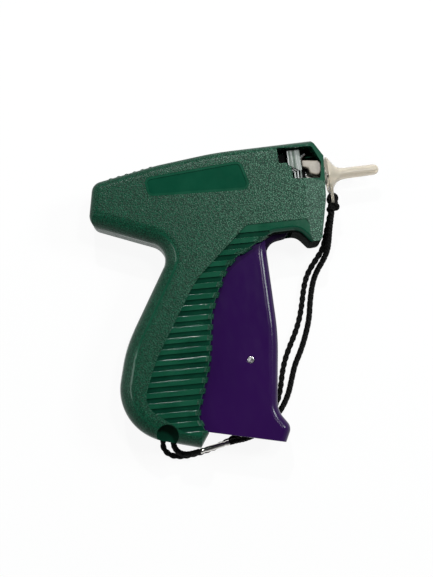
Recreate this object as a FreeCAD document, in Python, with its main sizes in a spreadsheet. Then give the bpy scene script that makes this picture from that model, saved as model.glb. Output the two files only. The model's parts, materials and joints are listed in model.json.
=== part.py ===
"""Garment tag attacher: a hand-held gun that shoots plastic tag fasteners through cloth.

The gun lies on its left cover.  X runs along the needle, Y from the grip up to the
barrel, Z through the thickness.  The origin is the trigger's pivot, dropped to the
face that the gun lies on.  Millimetres and degrees.
"""
import FreeCAD, Part
import math
import os
import re
import Sketcher

V = FreeCAD.Vector
doc = FreeCAD.newDocument("tag_attacher")

# ---------------------------------------------------------------- driving dimensions
DIMS = {
    # housing
    "thick": 25.0, "wall": 2.3, "skin": 2.4, "edge_round": 4.5, "chin_fillet": 1.0, "back_fillet": 8.0,
    "facet_start": 8.3, "facet_angle": 20.0, "facet_lean": 5.9,
    "label_depth": 0.5, "label_border": 1.1, "border_depth": 0.12, "panel_depth": 0.45,
    "rib_pitch": 4.72, "rib_gap": 2.3, "rib_depth": 0.9, "rib_count": 19, "rib_tilt": 2.1,
    "rib_first": -10.6, "rib_bite": 0.9, "bite_low": 17.0,
    "bump_count": 6, "bump_pitch": 3.75, "bump_round": 1.6, "bump_x": -78.6, "bump_y": 24.75,
    "bump_slope": 9.0,
    "notch_x": -67.4, "notch_y": -95.1, "notch_round": 5.0, "notch_depth": 9.0,
    "notch_wall": 1.7,
    # screws
    "boss_round": 3.1, "screw_round": 1.15, "screw_head": 2.6, "screw_head_tall": 1.8,
    "screw_sunk": 0.4, "screw_length": 17.5, "screw_play": 0.1,
    "screw_rear_x": -82.5, "screw_rear_y": 6.6, "screw_butt_x": -79.5, "screw_butt_y": -83.5,
    "screw_nose_x": 11.0, "screw_nose_y": -8.6,
    # trigger
    "trigger_width": 15.4, "trigger_wall": 2.2, "trigger_side": 1.9, "trigger_round": 4.2,
    "trigger_play": 0.5, "pivot_round": 1.5, "pivot_boss": 3.6,
    "link_x": -26.0, "link_y": -66.1, "link_round": 1.6, "pin_play": 0.03,
    "pin_seat": 1.2,
    # drive lever and its bracket
    "fulcrum_x": -32.0, "fulcrum_y": -42.0, "fulcrum_round": 1.5, "lever_thick": 4.0,
    "lever_lean": 26.1, "lever_boss": 4.6, "arm_width": 9.8,
    "foot_width": 9.8, "slot_near": 18.5, "slot_far": 24.8, "linkage_play": 1.1,
    "slot_end_wall": 2.2, "fork_end": 2.5, "fork_deep": 11.0,
    "plate_inner": 3.2, "plate_thick": 1.2, "post_round": 2.6, "post_play": 0.1,
    "post_rear_x": -66.0, "post_rear_y": -47.5, "post_web_x": -54.5, "post_web_y": -27.5,
    # slider, rod and spring
    "axis_y": 14.6, "slider_half": 4.4, "slider_gap": 2.6, "slider_tall": 8.8,
    "slider_front": 13.0, "slider_block": 5.2, "slider_back": 9.6, "slider_heel": 2.6,
    "slider_pin_round": 1.5, "rail_play": 0.2, "rail_tall": 1.5, "rail_rear": -72.0,
    "rail_front": -5.0, "rod_round": 0.55, "rod_tip": 0.2,
    "spring_round": 2.5, "wire_round": 0.4, "spring_turns": 7, "anchor_x": -83.6,
    "anchor_round": 1.1,
    # magazine and feed
    "block_rear": -4.2, "block_front": 10.5, "block_low": 9.6, "block_high": 26.2,
    "block_far": 3.4, "block_near": 16.6, "bore_play": 0.15,
    "bar_round": 0.45, "bar_length": 8.4, "bar_start": 1.0, "feed_pitch": 1.7,
    "bar_play": 0.2, "fastener_count": 3,
    "filament_round": 0.3, "filament_x": 5.6, "filament_step": 1.35, "filament_low": 13.9,
    "filament_gap": 1.2,
    "filament_back": 17.6, "filament_front": 18.7,
    "paddle_wide": 6.0, "paddle_tall": 8.7, "paddle_thick": 0.5, "paddle_step": 0.8,
    "paddle_low": 18.8, "paddle_x": 2.9, "paddle_z": 18.2,
    "wheel_drop": 5.0, "wheel_teeth": 16, "wheel_tip": 4.85, "wheel_root": 3.9,
    "tooth_tip": 0.3, "wheel_x": 2.0, "wheel_wide": 1.5, "shaft_round": 1.0,
    "shaft_rear": -2.0, "ratchet_x": 7.0, "ratchet_wide": 1.4, "ratchet_tip": 3.2,
    "ratchet_root": 2.5, "pocket_play": 0.4,
    "pawl_y": 13.4, "pawl_z": 6.08, "pawl_round": 0.8, "pawl_boss": 1.5, "pawl_thick": 1.1,
    "pawl_tip": 0.18, "pawl_depth": 0.35,
    "detent_thick": 0.4,
    "knife_thick": 0.2, "knife_tall": 4.0, "knife_wide": 2.6,
    # needle, lock and cap
    "hub_rear": 10.9, "hub_round": 3.6, "hub_step": 17.6, "collar_round": 4.2,
    "hub_front": 20.3, "needle_start": 11.6, "needle_tip": 43.4, "needle_round": 1.0,
    "needle_bore": 0.68, "needle_slot": 0.45, "needle_bevel": 3.0, "nose_play": 0.3,
    "lock_x": 14.9, "lock_y": 18.9, "lock_pin": 1.1, "lock_low": 16.9, "lock_tall": 3.6,
    "lock_face": 0.8, "shelf_low": 18.5, "shelf_high": 22.3, "shelf_front": 16.5,
    "relief_rear": 11.9, "relief_front": 18.2, "relief_low": 13.4, "relief_high": 21.3,
    "shelf_thick": 2.4,
    "cap_gap": 0.25, "cap_wall": 0.85, "cap_flange": 8.6, "cap_tube": 2.6, "cap_tip": 44.9,
    "cap_bore": 1.45, "flange_thick": 0.9,
    "tab_wide": 7.0, "tab_thick": 1.4, "tab_low": 1.35, "tab_x": 20.9,
    "eye_y": 4.45, "eye_round": 1.9,
    # lanyard
    "cord_round": 1.4, "hitch_x": 22.0, "hitch_y": 1.95, "hitch_ring": 2.6,
    "hitch_round": 1.2, "ferrule_round": 1.3, "ferrule_play": 0.05, "lanyard_post_round": 1.0,
    "lanyard_post_low": 0.8,
}

# Outlines: each corner has a name, a place and a rounding; 0 leaves it sharp.
HOUSING = {
    "rear_top": (-87.2, 23.0, 5.2), "rear_low": (-91.3, 4.3, 6.0), "web": (-54.9, -11.4, 8.0),
    "palm": (-81.3, -53.1, 60.0), "heel": (-92.0, -90.1, 24.0), "butt": (-53.4, -102.4, 0),
    "lip": (-49.0, -96.2, 0), "mouth_low": (-51.9, -88.0, 8.0),
    "mouth_mid": (-43.9, -66.0, 60.0), "mouth_high": (-39.5, -42.0, 25.0),
    "mouth_top": (-30.0, -22.0, 20.0), "arch_back": (-8.3, -10.9, 0),
    "arch_front": (3.0, -11.0, 6.0), "beak": (7.56, -16.7, 1.5), "chin": (13.3, -16.7, 2.4),
    "nose": (18.0, 3.0, 30.0), "brow": (19.4, 22.3, 0), "crown_front": (14.6, 29.9, 0),
    "crown_mid": (-30.0, 30.2, 150.0), "crown_rear": (-57.0, 27.8, 100.0),
}
BACK = {
    "past_rear": (-134.0, 22.6, 0), "back_web": (-55.02, -11.44, 8.0),
    "back_palm": (-81.37, -53.07, 60.0), "back_heel": (-92.1, -90.15, 24.0),
    "past_butt": (60.0, -138.6, 0), "past_front": (60.0, 60.0, 0), "past_top": (-134.0, 60.0, 0),
}
ARCH = {
    "arch_foot": (-22.0, -130.0, 0), "arch_start": (-22.0, -17.97, 0),
    "arch_rear": (-8.3, -10.97, 4.0), "arch_fore": (3.0, -11.07, 6.0),
    "arch_past": (38.6, -55.6, 0), "arch_side": (60.0, -55.6, 0), "arch_high": (60.0, 60.0, 0),
    "arch_left": (-134.0, 60.0, 0), "arch_low": (-134.0, -130.0, 0),
}
MOUTH = {
    "gap_front": (0.6, -8.0, 0), "gap_back": (-8.0, -8.0, 0), "gap_top": (-33.0, -18.0, 6.0),
    "gap_high": (-43.5, -41.0, 10.0), "gap_mid": (-48.0, -65.0, 10.0),
    "gap_low": (-56.5, -88.0, 3.0), "gap_heel": (-54.0, -97.6, 0), "gap_toe": (-30.0, -97.6, 0),
    "gap_chin": (0.6, -14.0, 0),
}
WINDOW = {
    "pane_rear": (-1.6, 28.0, 0.6), "pane_sill": (-1.6, 20.7, 0.5), "pane_step": (2.0, 20.5, 1.0),
    "pane_throat": (4.0, 18.0, 1.0), "pane_low": (4.0, 12.9, 0.6), "pane_toe": (16.6, 11.9, 1.0),
    "pane_front": (17.9, 19.5, 1.0), "pane_brow": (14.4, 26.9, 1.0),
}
LABEL = {
    "label_rear_top": (-63.6, 22.0, 3.0), "label_rear_low": (-62.6, 13.3, 3.0),
    "label_front_low": (-15.2, 10.4, 3.2), "label_front_top": (-18.8, 24.3, 3.2),
}
PANEL = {
    "ledge_front": (7.5, -6.1, 0), "ledge_rear": (-20.0, -5.4, 2.0), "panel_high": (-46.0, -27.5, 40.0),
    "panel_mid": (-68.5, -61.5, 60.0), "panel_low": (-76.5, -80.5, 9.0),
    "panel_heel": (-56.0, -97.8, 0), "panel_out_low": (-40.0, -100.0, 0),
    "panel_out_mid": (-30.0, -60.0, 0), "panel_out_high": (0.0, -22.0, 0),
    "panel_chin": (12.6, -20.0, 0),
}
TRIGGER = {
    "tail": (-52.2, -95.0, 4.0), "toe_low": (-14.9, -104.8, 0), "toe": (-11.6, -98.3, 4.6),
    "instep": (-16.9, -90.0, 10.0), "shin": (-12.0, -56.0, 120.0), "crook": (-12.1, -13.2, 6.5),
    "throat": (-3.0, -12.0, 0), "ear_low": (5.2, -3.0, 3.8), "ear_top": (4.2, 5.4, 3.8),
    "ear_back": (-5.4, 5.4, 3.8), "back_top": (-10.5, -8.4, 6.0),
    "back_high": (-32.6, -19.8, 14.0), "back_mid": (-42.0, -41.0, 30.0),
    "back_low": (-46.4, -65.4, 60.0), "back_tail": (-54.4, -88.0, 8.0),
}
CHANNEL = {"open_tail": (-61.9, -92.5, 0)}
CHANNEL.update((corner, TRIGGER[corner]) for corner in list(TRIGGER)[1:11])
CHANNEL["open_top"] = (-60.0, 5.0, 0)
LOCK = {
    "tip_high": (9.2, 21.8, 0.9), "tip_low": (9.2, 18.7, 0.9), "waist": (11.7, 17.7, 1.2),
    "lobe_rear": (12.3, 15.2, 1.0), "lobe_low": (15.8, 13.75, 1.6), "lobe_front": (17.9, 15.6, 1.4),
    "lobe_top": (17.9, 19.8, 0.9), "lever_crest": (16.7, 20.75, 1.2),
}
BRACKET = {
    "plate_low": (-27.0, -47.4, 4.4), "plate_front": (-27.0, -36.6, 4.4),
    "plate_web": (-50.5, -22.4, 4.0), "plate_back": (-59.0, -24.8, 3.5),
    "plate_rear": (-71.0, -45.0, 3.5), "plate_heel": (-69.5, -52.6, 3.5),
}

# Routes of the lanyard's two strands, chosen by hand: x, y and height above the table.
NEAR_STRAND = [
    (20.4, -2.8, 14.1), (19.4, -6.8, 12.4), (18.5, -11.0, 9.8), (17.9, -15.0, 7.0),
    (16.9, -19.2, 4.4), (14.5, -23.2, 2.5), (11.5, -26.9, 1.6), (8.9, -31.2, 1.4),
    (7.1, -36.4, 1.4), (5.6, -42.2, 1.4), (4.2, -49.6, 1.4), (1.3, -57.4, 1.4),
    (-1.9, -64.2, 1.4), (-5.4, -70.0, 1.4), (-7.9, -76.8, 1.4), (-10.4, -83.6, 1.4),
    (-14.8, -90.3, 1.4), (-21.6, -96.2, 1.4), (-28.0, -99.8, 1.8), (-33.4, -101.0, 3.4),
    (-37.6, -101.17, 4.3), (-40.2, -101.6, 4.3),
]
FAR_STRAND = [
    (-54.2, -103.9, 4.3), (-57.0, -104.36, 4.3), (-61.0, -104.6, 4.3), (-64.6, -102.9, 4.3),
    (-66.3, -98.9, 4.3), (-64.1, -93.4, 4.2), (-69.1, -91.8, 2.9), (-70.8, -97.4, 2.2),
    (-70.8, -101.0, 1.5), (-67.8, -104.2, 1.4), (-62.6, -105.3, 1.4), (-55.5, -104.7, 1.4),
    (-48.0, -103.2, 1.4), (-41.4, -101.2, 1.4), (-34.6, -98.2, 1.4), (-27.6, -95.1, 1.4),
    (-21.3, -91.3, 1.4), (-16.2, -87.0, 1.4), (-13.6, -80.6, 1.4), (-11.8, -73.2, 1.4),
    (-9.6, -67.0, 1.4), (-6.6, -61.2, 1.4), (-3.2, -55.4, 1.4), (-0.2, -48.8, 1.4),
    (1.8, -42.2, 1.4), (3.3, -36.2, 1.4), (5.2, -30.6, 1.4), (8.1, -26.0, 1.4),
    (11.6, -22.0, 1.5), (14.9, -18.1, 2.2), (16.6, -13.6, 3.8), (17.9, -9.4, 6.4),
    (19.1, -5.8, 9.0), (20.2, -2.6, 11.0),
]
FERRULE = [NEAR_STRAND[-1], FAR_STRAND[0]]

# ---------------------------------------------------------------- the sheet
sheet = doc.addObject("Spreadsheet::Sheet", "Dims")
for group in (HOUSING, BACK, ARCH, MOUTH, WINDOW, LABEL, PANEL, TRIGGER, CHANNEL, LOCK, BRACKET):
    for corner, place in group.items():
        for axis, number in zip(("x", "y", "round"), place):
            DIMS[corner + "_" + axis] = number
for row, (alias, number) in enumerate(DIMS.items(), 1):
    sheet.set("A%d" % row, alias)
    sheet.set("B%d" % row, repr(float(number)))
    sheet.setAlias("B%d" % row, alias)
doc.recompute()

# Values worked out from the driving ones, in their words.
WORKED = {
    "mid": "(thick / 2)",
    "inner_high": "(thick - skin)",
    "trigger_half": "(trigger_width / 2)",
    "mouth_half": "(trigger_half + trigger_play)",
    "arm_rise": "(axis_y - fulcrum_y)",
    "fork_reach": "(arm_rise / cos(lever_lean * 1 deg) + fork_end)",
    "fork_root": "(fork_reach - fork_deep)",
    "foot_turn": "(180 + atan((link_x - fulcrum_x) / (fulcrum_y - link_y)) / 1 deg)",
    "slider_pin_x": "(fulcrum_x - arm_rise * tan(lever_lean * 1 deg))",
    "slider_nose": "(slider_pin_x + slider_front)",
    "slider_tail": "(slider_pin_x - slider_back)",
    "slider_top": "(axis_y + slider_tall / 2)",
    "slider_low": "(axis_y - slider_tall / 2)",
    "wheel_y": "(axis_y + 3.5 * feed_pitch)",
    "wheel_z": "(mid - wheel_drop)",
    "slot_half": "(link_round + linkage_play)",
    "plate_outer": "(plate_inner + plate_thick)",
    "bar_middle": "(bar_start + bar_length / 2)",
    "cap_rear": "(hub_front + cap_gap)",
    "notch_low": "(thick - notch_depth)",
}


def words(text):
    """The text with every name replaced by its cell or by the words it is worked out from."""
    def swap(match):
        name = match.group(0)
        if name in WORKED:
            return words(WORKED[name])
        return "Dims." + name if name in DIMS else name
    return re.sub(r"[a-z][a-z_]*", swap, str(text))


def size(text):
    """The number that the words stand for now."""
    found = sheet.evalExpression(words(text))
    return float(getattr(found, "Value", found))


def bind(thing, path, text):
    thing.setExpression(path, words(text))


def place(thing, corner, turn=None):
    """Puts a thing at a corner given in words; turn is an axis and an angle in words."""
    if turn:
        thing.Placement.Rotation = FreeCAD.Rotation(V(*turn[0]), size(turn[1]))
    for axis, text in zip("xyz", corner):
        bind(thing, "Placement.Base." + axis, text)
    return thing


# ---------------------------------------------------------------- plain solids
def box(name, corner, lengths, turn=None):
    made = doc.addObject("Part::Box", name)
    for path, text in zip(("Length", "Width", "Height"), lengths):
        bind(made, path, text)
    return place(made, corner, turn)


def cylinder(name, foot, radius, height, along="Z"):
    made = doc.addObject("Part::Cylinder", name)
    bind(made, "Radius", radius)
    bind(made, "Height", height)
    turn = {"Z": None, "X": ((0, 1, 0), "90"), "Y": ((1, 0, 0), "-90")}[along]
    return place(made, foot, turn)


def fuse(name, *things):
    made = doc.addObject("Part::MultiFuse", name)
    made.Shapes = list(things)
    return made


def cut(name, base, *tools):
    made = doc.addObject("Part::Cut", name)
    made.Base = base
    made.Tool = tools[0] if len(tools) == 1 else fuse(name + "_tools", *tools)
    return made


def common(name, *things):
    made = doc.addObject("Part::MultiCommon", name)
    made.Shapes = list(things)
    return made


def mirror(name, thing):
    """The same shape on the other side of the housing's middle plane."""
    made = doc.addObject("Part::Mirroring", name)
    made.Source = thing
    made.Normal = V(0, 0, 1)
    bind(made, "Base.z", "mid")
    return made


# ---------------------------------------------------------------- outlines
def corner_shapes(points):
    """Each corner's entry, exit, rounding centre and side: 1 turns left, -1 turns right."""
    found = []
    for index, (x, y, radius) in enumerate(points):
        before, after = points[index - 1], points[(index + 1) % len(points)]
        into = V(x - before[0], y - before[1], 0).normalize()
        away = V(after[0] - x, after[1] - y, 0).normalize()
        turn = math.atan2(into.x * away.y - into.y * away.x, into.dot(away))
        reach = radius * math.tan(abs(turn) / 2)
        side = 1 if turn > 0 else -1
        entry = V(x, y, 0) - into * reach
        centre = entry + V(-into.y, into.x, 0) * (radius * side)
        found.append((entry, V(x, y, 0) + away * reach, centre, side))
    return found


def inset_points(points, wall):
    """Where an outline's corners come to lie when its sides move inwards by a wall."""
    count = len(points)
    area = sum(points[i - 1][0] * points[i][1] - points[i][0] * points[i - 1][1]
               for i in range(count))
    inward = 1 if area > 0 else -1
    moved = []
    for index, (x, y, radius) in enumerate(points):
        before, after = points[index - 1], points[(index + 1) % count]
        into = V(x - before[0], y - before[1], 0).normalize()
        away = V(after[0] - x, after[1] - y, 0).normalize()
        first = V(-into.y, into.x, 0) * (wall * inward)
        second = V(-away.y, away.x, 0) * (wall * inward)
        shift = (first + second) * (wall ** 2 / (wall ** 2 + first.dot(second)))
        convex = (into.x * away.y - into.y * away.x) * inward > 0
        rounding = radius - wall if convex else radius + wall
        moved.append((x + shift.x, y + shift.y, max(rounding, 0) if radius > 0 else 0))
    return moved


def draw_outline(sketch, corners, inset=None):
    """A closed outline with straight sides and rounded corners, held by its corners' cells.

    With an inset, the drawn outline lies inside the corners' outline, at that distance.
    """
    names = list(corners)
    outer = [tuple(size(name + "_" + part) for part in ("x", "y", "round")) for name in names]
    count = len(names)
    rule = Sketcher.Constraint
    points = inset_points(outer, size(inset)) if inset else outer
    found = corner_shapes(points)
    shapes = [Part.LineSegment(found[i][1], found[(i + 1) % count][0]) for i in range(count)]
    arcs, marks, guides = {}, {}, {}
    for index, (x, y, radius) in enumerate(points):
        if radius > 0:
            entry, leave, centre, side = found[index]
            start, end = (entry - centre, leave - centre)[::side]
            first, last = math.atan2(start.y, start.x), math.atan2(end.y, end.x)
            arcs[index] = len(shapes)
            circle = Part.Circle(centre, V(0, 0, 1), radius)
            shapes.append(Part.ArcOfCircle(circle, first, last + (2 * math.pi if last < first else 0)))
    for index, (x, y, radius) in enumerate(outer):
        if inset:
            after = outer[(index + 1) % count]
            guides[index] = len(shapes)
            shapes.append(Part.LineSegment(V(x, y, 0), V(after[0], after[1], 0)))
        elif radius > 0:
            marks[index] = len(shapes)
            shapes.append(Part.Point(V(x, y, 0)))
    sketch.addGeometry(shapes, False)
    for helper in list(marks.values()) + list(guides.values()):
        sketch.setConstruction(helper, True)
    rules, bound = [], []
    for index, name in enumerate(names):
        x, y, radius = outer[index]
        inward, outward = (index - 1) % count, index
        held = outward
        if index in arcs:
            arc, side = arcs[index], found[index][3]
            enter, leave = (1, 2)[::side]
            rules += [rule("Tangent", inward, 2, arc, enter), rule("Tangent", arc, leave, outward, 1)]
            change = ""
            if inset:
                change = " - (%s)" % inset if points[index][2] < radius else " + (%s)" % inset
            bound.append((len(rules), name + "_round" + change))
            rules.append(rule("Radius", arc, points[index][2]))
        else:
            rules.append(rule("Coincident", inward, 2, outward, 1))
        if inset:
            held = guides[index]
            rules += [rule("Coincident", guides[inward], 2, held, 1), rule("Parallel", index, held)]
            bound.append((len(rules), inset))
            rules.append(rule("Distance", index, 1, held, size(inset)))
        elif index in marks:
            held = marks[index]
            rules += [rule("PointOnObject", held, 1, inward), rule("PointOnObject", held, 1, outward)]
        for kind, axis, value in (("DistanceX", "_x", x), ("DistanceY", "_y", y)):
            bound.append((len(rules), name + axis))
            rules.append(rule(kind, held, 1, value))
    sketch.addConstraint(rules)
    for index, text in bound:
        bind(sketch, "Constraints[%d]" % index, text)


def plane_of(body, role):
    return [feature for feature in body.Origin.OriginFeatures if feature.Role == role][0]


def plate(name, corners, low, height, inset=None):
    """A body: an outline, or one that lies inside it, on a level plane and padded upwards."""
    body = doc.addObject("PartDesign::Body", name)
    sketch = body.newObject("Sketcher::SketchObject", name + "_outline")
    sketch.AttachmentSupport = [(plane_of(body, "XY_Plane"), "")]
    sketch.MapMode = "FlatFace"
    bind(sketch, "AttachmentOffset.Base.z", low)
    draw_outline(sketch, corners, inset)
    pad = body.newObject("PartDesign::Pad", name + "_pad")
    pad.Profile = sketch
    bind(pad, "Length", height)
    doc.recompute()
    return body


def round_edges(body, radius, spots):
    """Rounds the body's edges that pass nearest to the given spots."""
    tip = body.Tip
    edges = tip.Shape.Edges
    chosen = set()
    for spot in spots:
        vertex = Part.Vertex(*[size(text) for text in spot])
        chosen.add(min(range(len(edges)), key=lambda i: edges[i].distToShape(vertex)[0]))
    rounding = body.newObject("PartDesign::Fillet", body.Name + "_round_%d" % len(body.Group))
    rounding.Base = (tip, ["Edge%d" % (index + 1) for index in sorted(chosen)])
    bind(rounding, "Radius", radius)
    doc.recompute()
    return body


def halfway(first, second, level):
    """A spot in the middle of the side between two corners."""
    return ("(%s_x + %s_x) / 2" % (first, second), "(%s_y + %s_y) / 2" % (first, second), level)


def turned(name, profile):
    """A body turned about an axis along X through the needle: profile is (x, radius)."""
    body = doc.addObject("PartDesign::Body", name)
    sketch = body.newObject("Sketcher::SketchObject", name + "_profile")
    sketch.AttachmentSupport = [(plane_of(body, "XY_Plane"), "")]
    sketch.MapMode = "FlatFace"
    spots = [V(size(x), size(y), 0) for x, y in profile]
    count = len(spots)
    sketch.addGeometry([Part.LineSegment(spots[i], spots[(i + 1) % count]) for i in range(count)])
    rule = Sketcher.Constraint
    rules, bound = [], []
    for index, (x, y) in enumerate(profile):
        rules.append(rule("Coincident", (index - 1) % count, 2, index, 1))
        for kind, text, value in (("DistanceX", x, spots[index].x), ("DistanceY", y, spots[index].y)):
            bound.append((len(rules), text))
            rules.append(rule(kind, index, 1, value))
    sketch.addConstraint(rules)
    for index, text in bound:
        bind(sketch, "Constraints[%d]" % index, text)
    spin = body.newObject("PartDesign::Revolution", name + "_turn")
    spin.Profile = sketch
    spin.ReferenceAxis = (plane_of(body, "X_Axis"), [""])
    spin.Angle = 360.0
    bind(body, "Placement.Base.y", "axis_y")
    bind(body, "Placement.Base.z", "mid")
    doc.recompute()
    return body


def tube_along(name, route, radius):
    """A round cord: straight runs joined by tangent arcs, swept by its section."""
    points = [V(*spot) for spot in route]
    bends = [i for i in range(1, len(points) - 1)
             if (points[i] - points[i - 1]).getAngle(points[i + 1] - points[i]) > 0.01]
    points = [points[0]] + [points[i] for i in bends] + [points[-1]]
    runs = [(b - a).Length for a, b in zip(points, points[1:])]
    edges, radii, last = [], [], points[0]
    for index in range(1, len(points) - 1):
        here = points[index]
        into = (here - points[index - 1]).normalize()
        away = (points[index + 1] - here).normalize()
        turn = into.getAngle(away)
        reach = 0.45 * min(runs[index - 1], runs[index])
        bend = reach / math.tan(turn / 2)
        radii.append(bend)
        start, end = here - into * reach, here + away * reach
        centre_way = (away - into).normalize()
        middle = here + centre_way * (math.hypot(bend, reach) - bend)
        edges.append(Part.LineSegment(last, start).toShape())
        edges.append(Part.Arc(start, middle, end).toShape())
        last = end
    edges.append(Part.LineSegment(last, points[-1]).toShape())
    path = Part.Wire(edges)
    first = (points[1] - points[0]).normalize()
    section = Part.Wire(Part.makeCircle(radius, points[0], first))
    made = doc.addObject("Part::Feature", name)
    made.Shape = path.makePipeShell([section], True, False)
    expected = math.pi * radius ** 2 * path.Length
    print("%s: length %.1f mm, volume %.4f of section times length, radii %s" % (
        name, path.Length, made.Shape.Volume / expected,
        " ".join("%.1f" % value for value in radii)))
    return made


NODES = []


def node(name, thing):
    thing.Label = name
    NODES.append((name, thing))
    return thing


# ---------------------------------------------------------------- covers
SCREWS = {
    "rear": ("screw_rear_x", "screw_rear_y"), "butt": ("screw_butt_x", "screw_butt_y"),
    "nose": ("screw_nose_x", "screw_nose_y"), "post": ("post_rear_x", "post_rear_y"),
    "web": ("post_web_x", "post_web_y"),
}


def facet_tool(name, top):
    """A slanted block that takes the nose's side down towards the front."""
    tool = box(name, ("facet_start - 40 * sin(facet_lean * 1 deg)",
                      "-40 * cos(facet_lean * 1 deg)", top), ("60", "90", "30"))
    lean = FreeCAD.Rotation(V(0, 0, 1), -size("facet_lean"))
    tool.Placement.Rotation = lean.multiply(FreeCAD.Rotation(V(0, 1, 0), size("facet_angle")))
    return tool


shell = plate("shell", HOUSING, "mid", "mid")
round_edges(shell, "edge_round", [
    halfway("web", "palm", "thick"), halfway("mouth_mid", "mouth_high", "thick"),
    halfway("butt", "lip", "thick")])
round_edges(shell, "chin_fillet", [
    halfway("arch_back", "arch_front", "thick"), halfway("brow", "crown_front", "thick"),
    halfway("nose", "brow", "thick")])
bumps = []
for index in range(int(size("bump_count"))):
    rise = "bump_y - bump_round + %d * bump_pitch * tan(bump_slope * 1 deg)" % index
    bumps.append(cylinder("bump_%d" % index, ("bump_x + %d * bump_pitch" % index, rise, "mid"),
                          "bump_round", "mid - edge_round"))
crowned = fuse("crowned", shell, *bumps)
back = plate("back", BACK, "mid - 2", "thick - mid + 2")
round_edges(back, "back_fillet", [halfway("back_web", "back_palm", "thick")])
arch = plate("arch", ARCH, "mid - 2", "thick - mid + 2")
round_edges(arch, "edge_round", [halfway("arch_rear", "arch_fore", "thick")])
outer = cut("outer", common("rounded", common("back_rounded", crowned, back), arch),
            facet_tool("facet", "thick"))
hollow = plate("hollow", HOUSING, "mid - 1", "inner_high - mid + 1", "wall")
back_inside = plate("back_inside", BACK, "mid - 2", "inner_high - mid + 2", "wall")
round_edges(back_inside, "back_fillet - wall", [halfway("back_web", "back_palm", "inner_high")])
cavity = cut("cavity", common("hollow_rounded", hollow, back_inside),
             facet_tool("facet_inside", "inner_high"))
mouth = plate("mouth", MOUTH, "mid - 1", "mouth_half + 1")
hub_way = cylinder("hub_way", ("hub_step - 4", "axis_y", "mid"), "collar_round + nose_play", "12",
                   "X")
open_space = fuse("open_space", cavity, mouth, hub_way)

# added inside: screw bosses, shoulders, the pivot's boss, rails, ribs and the wall round the notch
added = []
for name, (x, y) in SCREWS.items():
    added.append(cylinder("boss_" + name, (x, y, "mid"),
                          "post_round" if name in ("post", "web") else "boss_round",
                          "inner_high - mid + 0.2"))
for name in ("post", "web"):
    x, y = SCREWS[name]
    added.append(cylinder("shoulder_" + name, (x, y, "mid + plate_outer + post_play"),
                          "post_round + 1.5", "inner_high - mid - plate_outer"))
added.append(cylinder("pivot_boss_rim", ("0", "0", "mid + mouth_half"), "pivot_boss",
                      "inner_high - mid - mouth_half + 0.2"))
for name, low in (("top", "slider_top + rail_play"), ("low", "slider_low - rail_play - rail_tall")):
    added.append(box("rail_" + name, ("rail_rear", low, "mid + slider_gap"),
                     ("rail_front - rail_rear", "rail_tall", "inner_high - mid - slider_gap + 0.2")))
added.append(box("block_rib_top", ("block_rear", "block_high", "mid + 1"),
                 ("block_front - block_rear", "3", "block_near - mid - 1.2")))
added.append(box("block_rib_low", ("block_rear", "block_low - rail_tall", "mid + 1"),
                 ("block_front - block_rear", "rail_tall", "inner_high - mid - 0.8")))
added.append(cylinder("notch_rim", ("notch_x", "notch_y", "mid"), "notch_round + notch_wall",
                      "mid"))
walls = cut("walls", outer, cut("space", open_space, *added))

# taken away from the outside: label, grip panel, the gaps between its ribs, notch and pivot hole
rib_gaps = []
for index in range(int(size("rib_count"))):
    rise = "rib_first - %d * rib_pitch + 60 * tan(rib_tilt * 1 deg)" % index
    rib_gaps.append(box("rib_gap_%d" % index, ("-95", rise, "thick - panel_depth - rib_depth"),
                        ("85", "rib_gap", "10"), ((0, 0, 1), "-rib_tilt")))
rib_bites = []
for index in range(int(size("rib_count"))):
    rise = "rib_first - %d * rib_pitch + 60 * tan(rib_tilt * 1 deg)" % index
    rib_bites.append(box("rib_bite_%d" % index, ("-95", rise, "bite_low"), ("85", "rib_gap", "20"),
                         ((0, 0, 1), "-rib_tilt")))
rim = cut("panel_rim", plate("bite_region", PANEL, "mid", "mid"),
          plate("bite_inside", HOUSING, "mid - 1", "mid + 2", "rib_bite"))
taken = [
    plate("label_rim", LABEL, "thick - border_depth", "label_depth + 1"),
    plate("label", LABEL, "thick - label_depth", "label_depth + 1", "label_border"),
    common("rib_ends", fuse("rib_bites", *rib_bites), rim),
    plate("panel", PANEL, "thick - panel_depth", "panel_depth + 1"),
    common("ribs", fuse("rib_gaps", *rib_gaps), plate("rib_region", PANEL, "mid", "mid")),
    cylinder("notch", ("notch_x", "notch_y", "notch_low"), "notch_round", "notch_depth + 1"),
    cylinder("pivot_hole", ("0", "0", "mid"), "pivot_round + pin_play", "mid - pin_seat + 0.1"),
]
carved = cut("carved", walls, *taken)

window = plate("window", WINDOW, "mid + 3", "mid")
pilots = [cylinder("pilot_" + name, (x, y, "mid - 1"), "screw_round + screw_play / 5",
                   "screw_length - mid + 2") for name, (x, y) in SCREWS.items()]
relief = box("relief", ("relief_rear", "relief_low", "lock_low - 0.3"),
             ("relief_front - relief_rear", "relief_high - relief_low", "lock_tall + 0.6"))
node("right_cover", cut("right_cover", carved, window, relief, *pilots))

anchor = cylinder("spring_anchor", ("anchor_x", "axis_y", "skin - 0.2"), "anchor_round",
                  "mid - skin + 2.5")
ways = [cylinder("way_" + name, (x, y, "-1"), "screw_round + screw_play", "mid + 2")
        for name, (x, y) in SCREWS.items()]
sinks = [cylinder("sink_" + name, (x, y, "-1"), "screw_head + screw_play",
                  "screw_head_tall + screw_sunk + 1") for name, (x, y) in SCREWS.items()]
post_seat = cylinder("post_seat", ("notch_x", "notch_y", "notch_depth - 1"),
                     "lanyard_post_round + pin_play", "3.5")
node("left_cover", cut("left_cover", fuse("far_whole", mirror("far_half", carved), anchor),
                       *(ways + sinks + [post_seat])))

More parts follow.
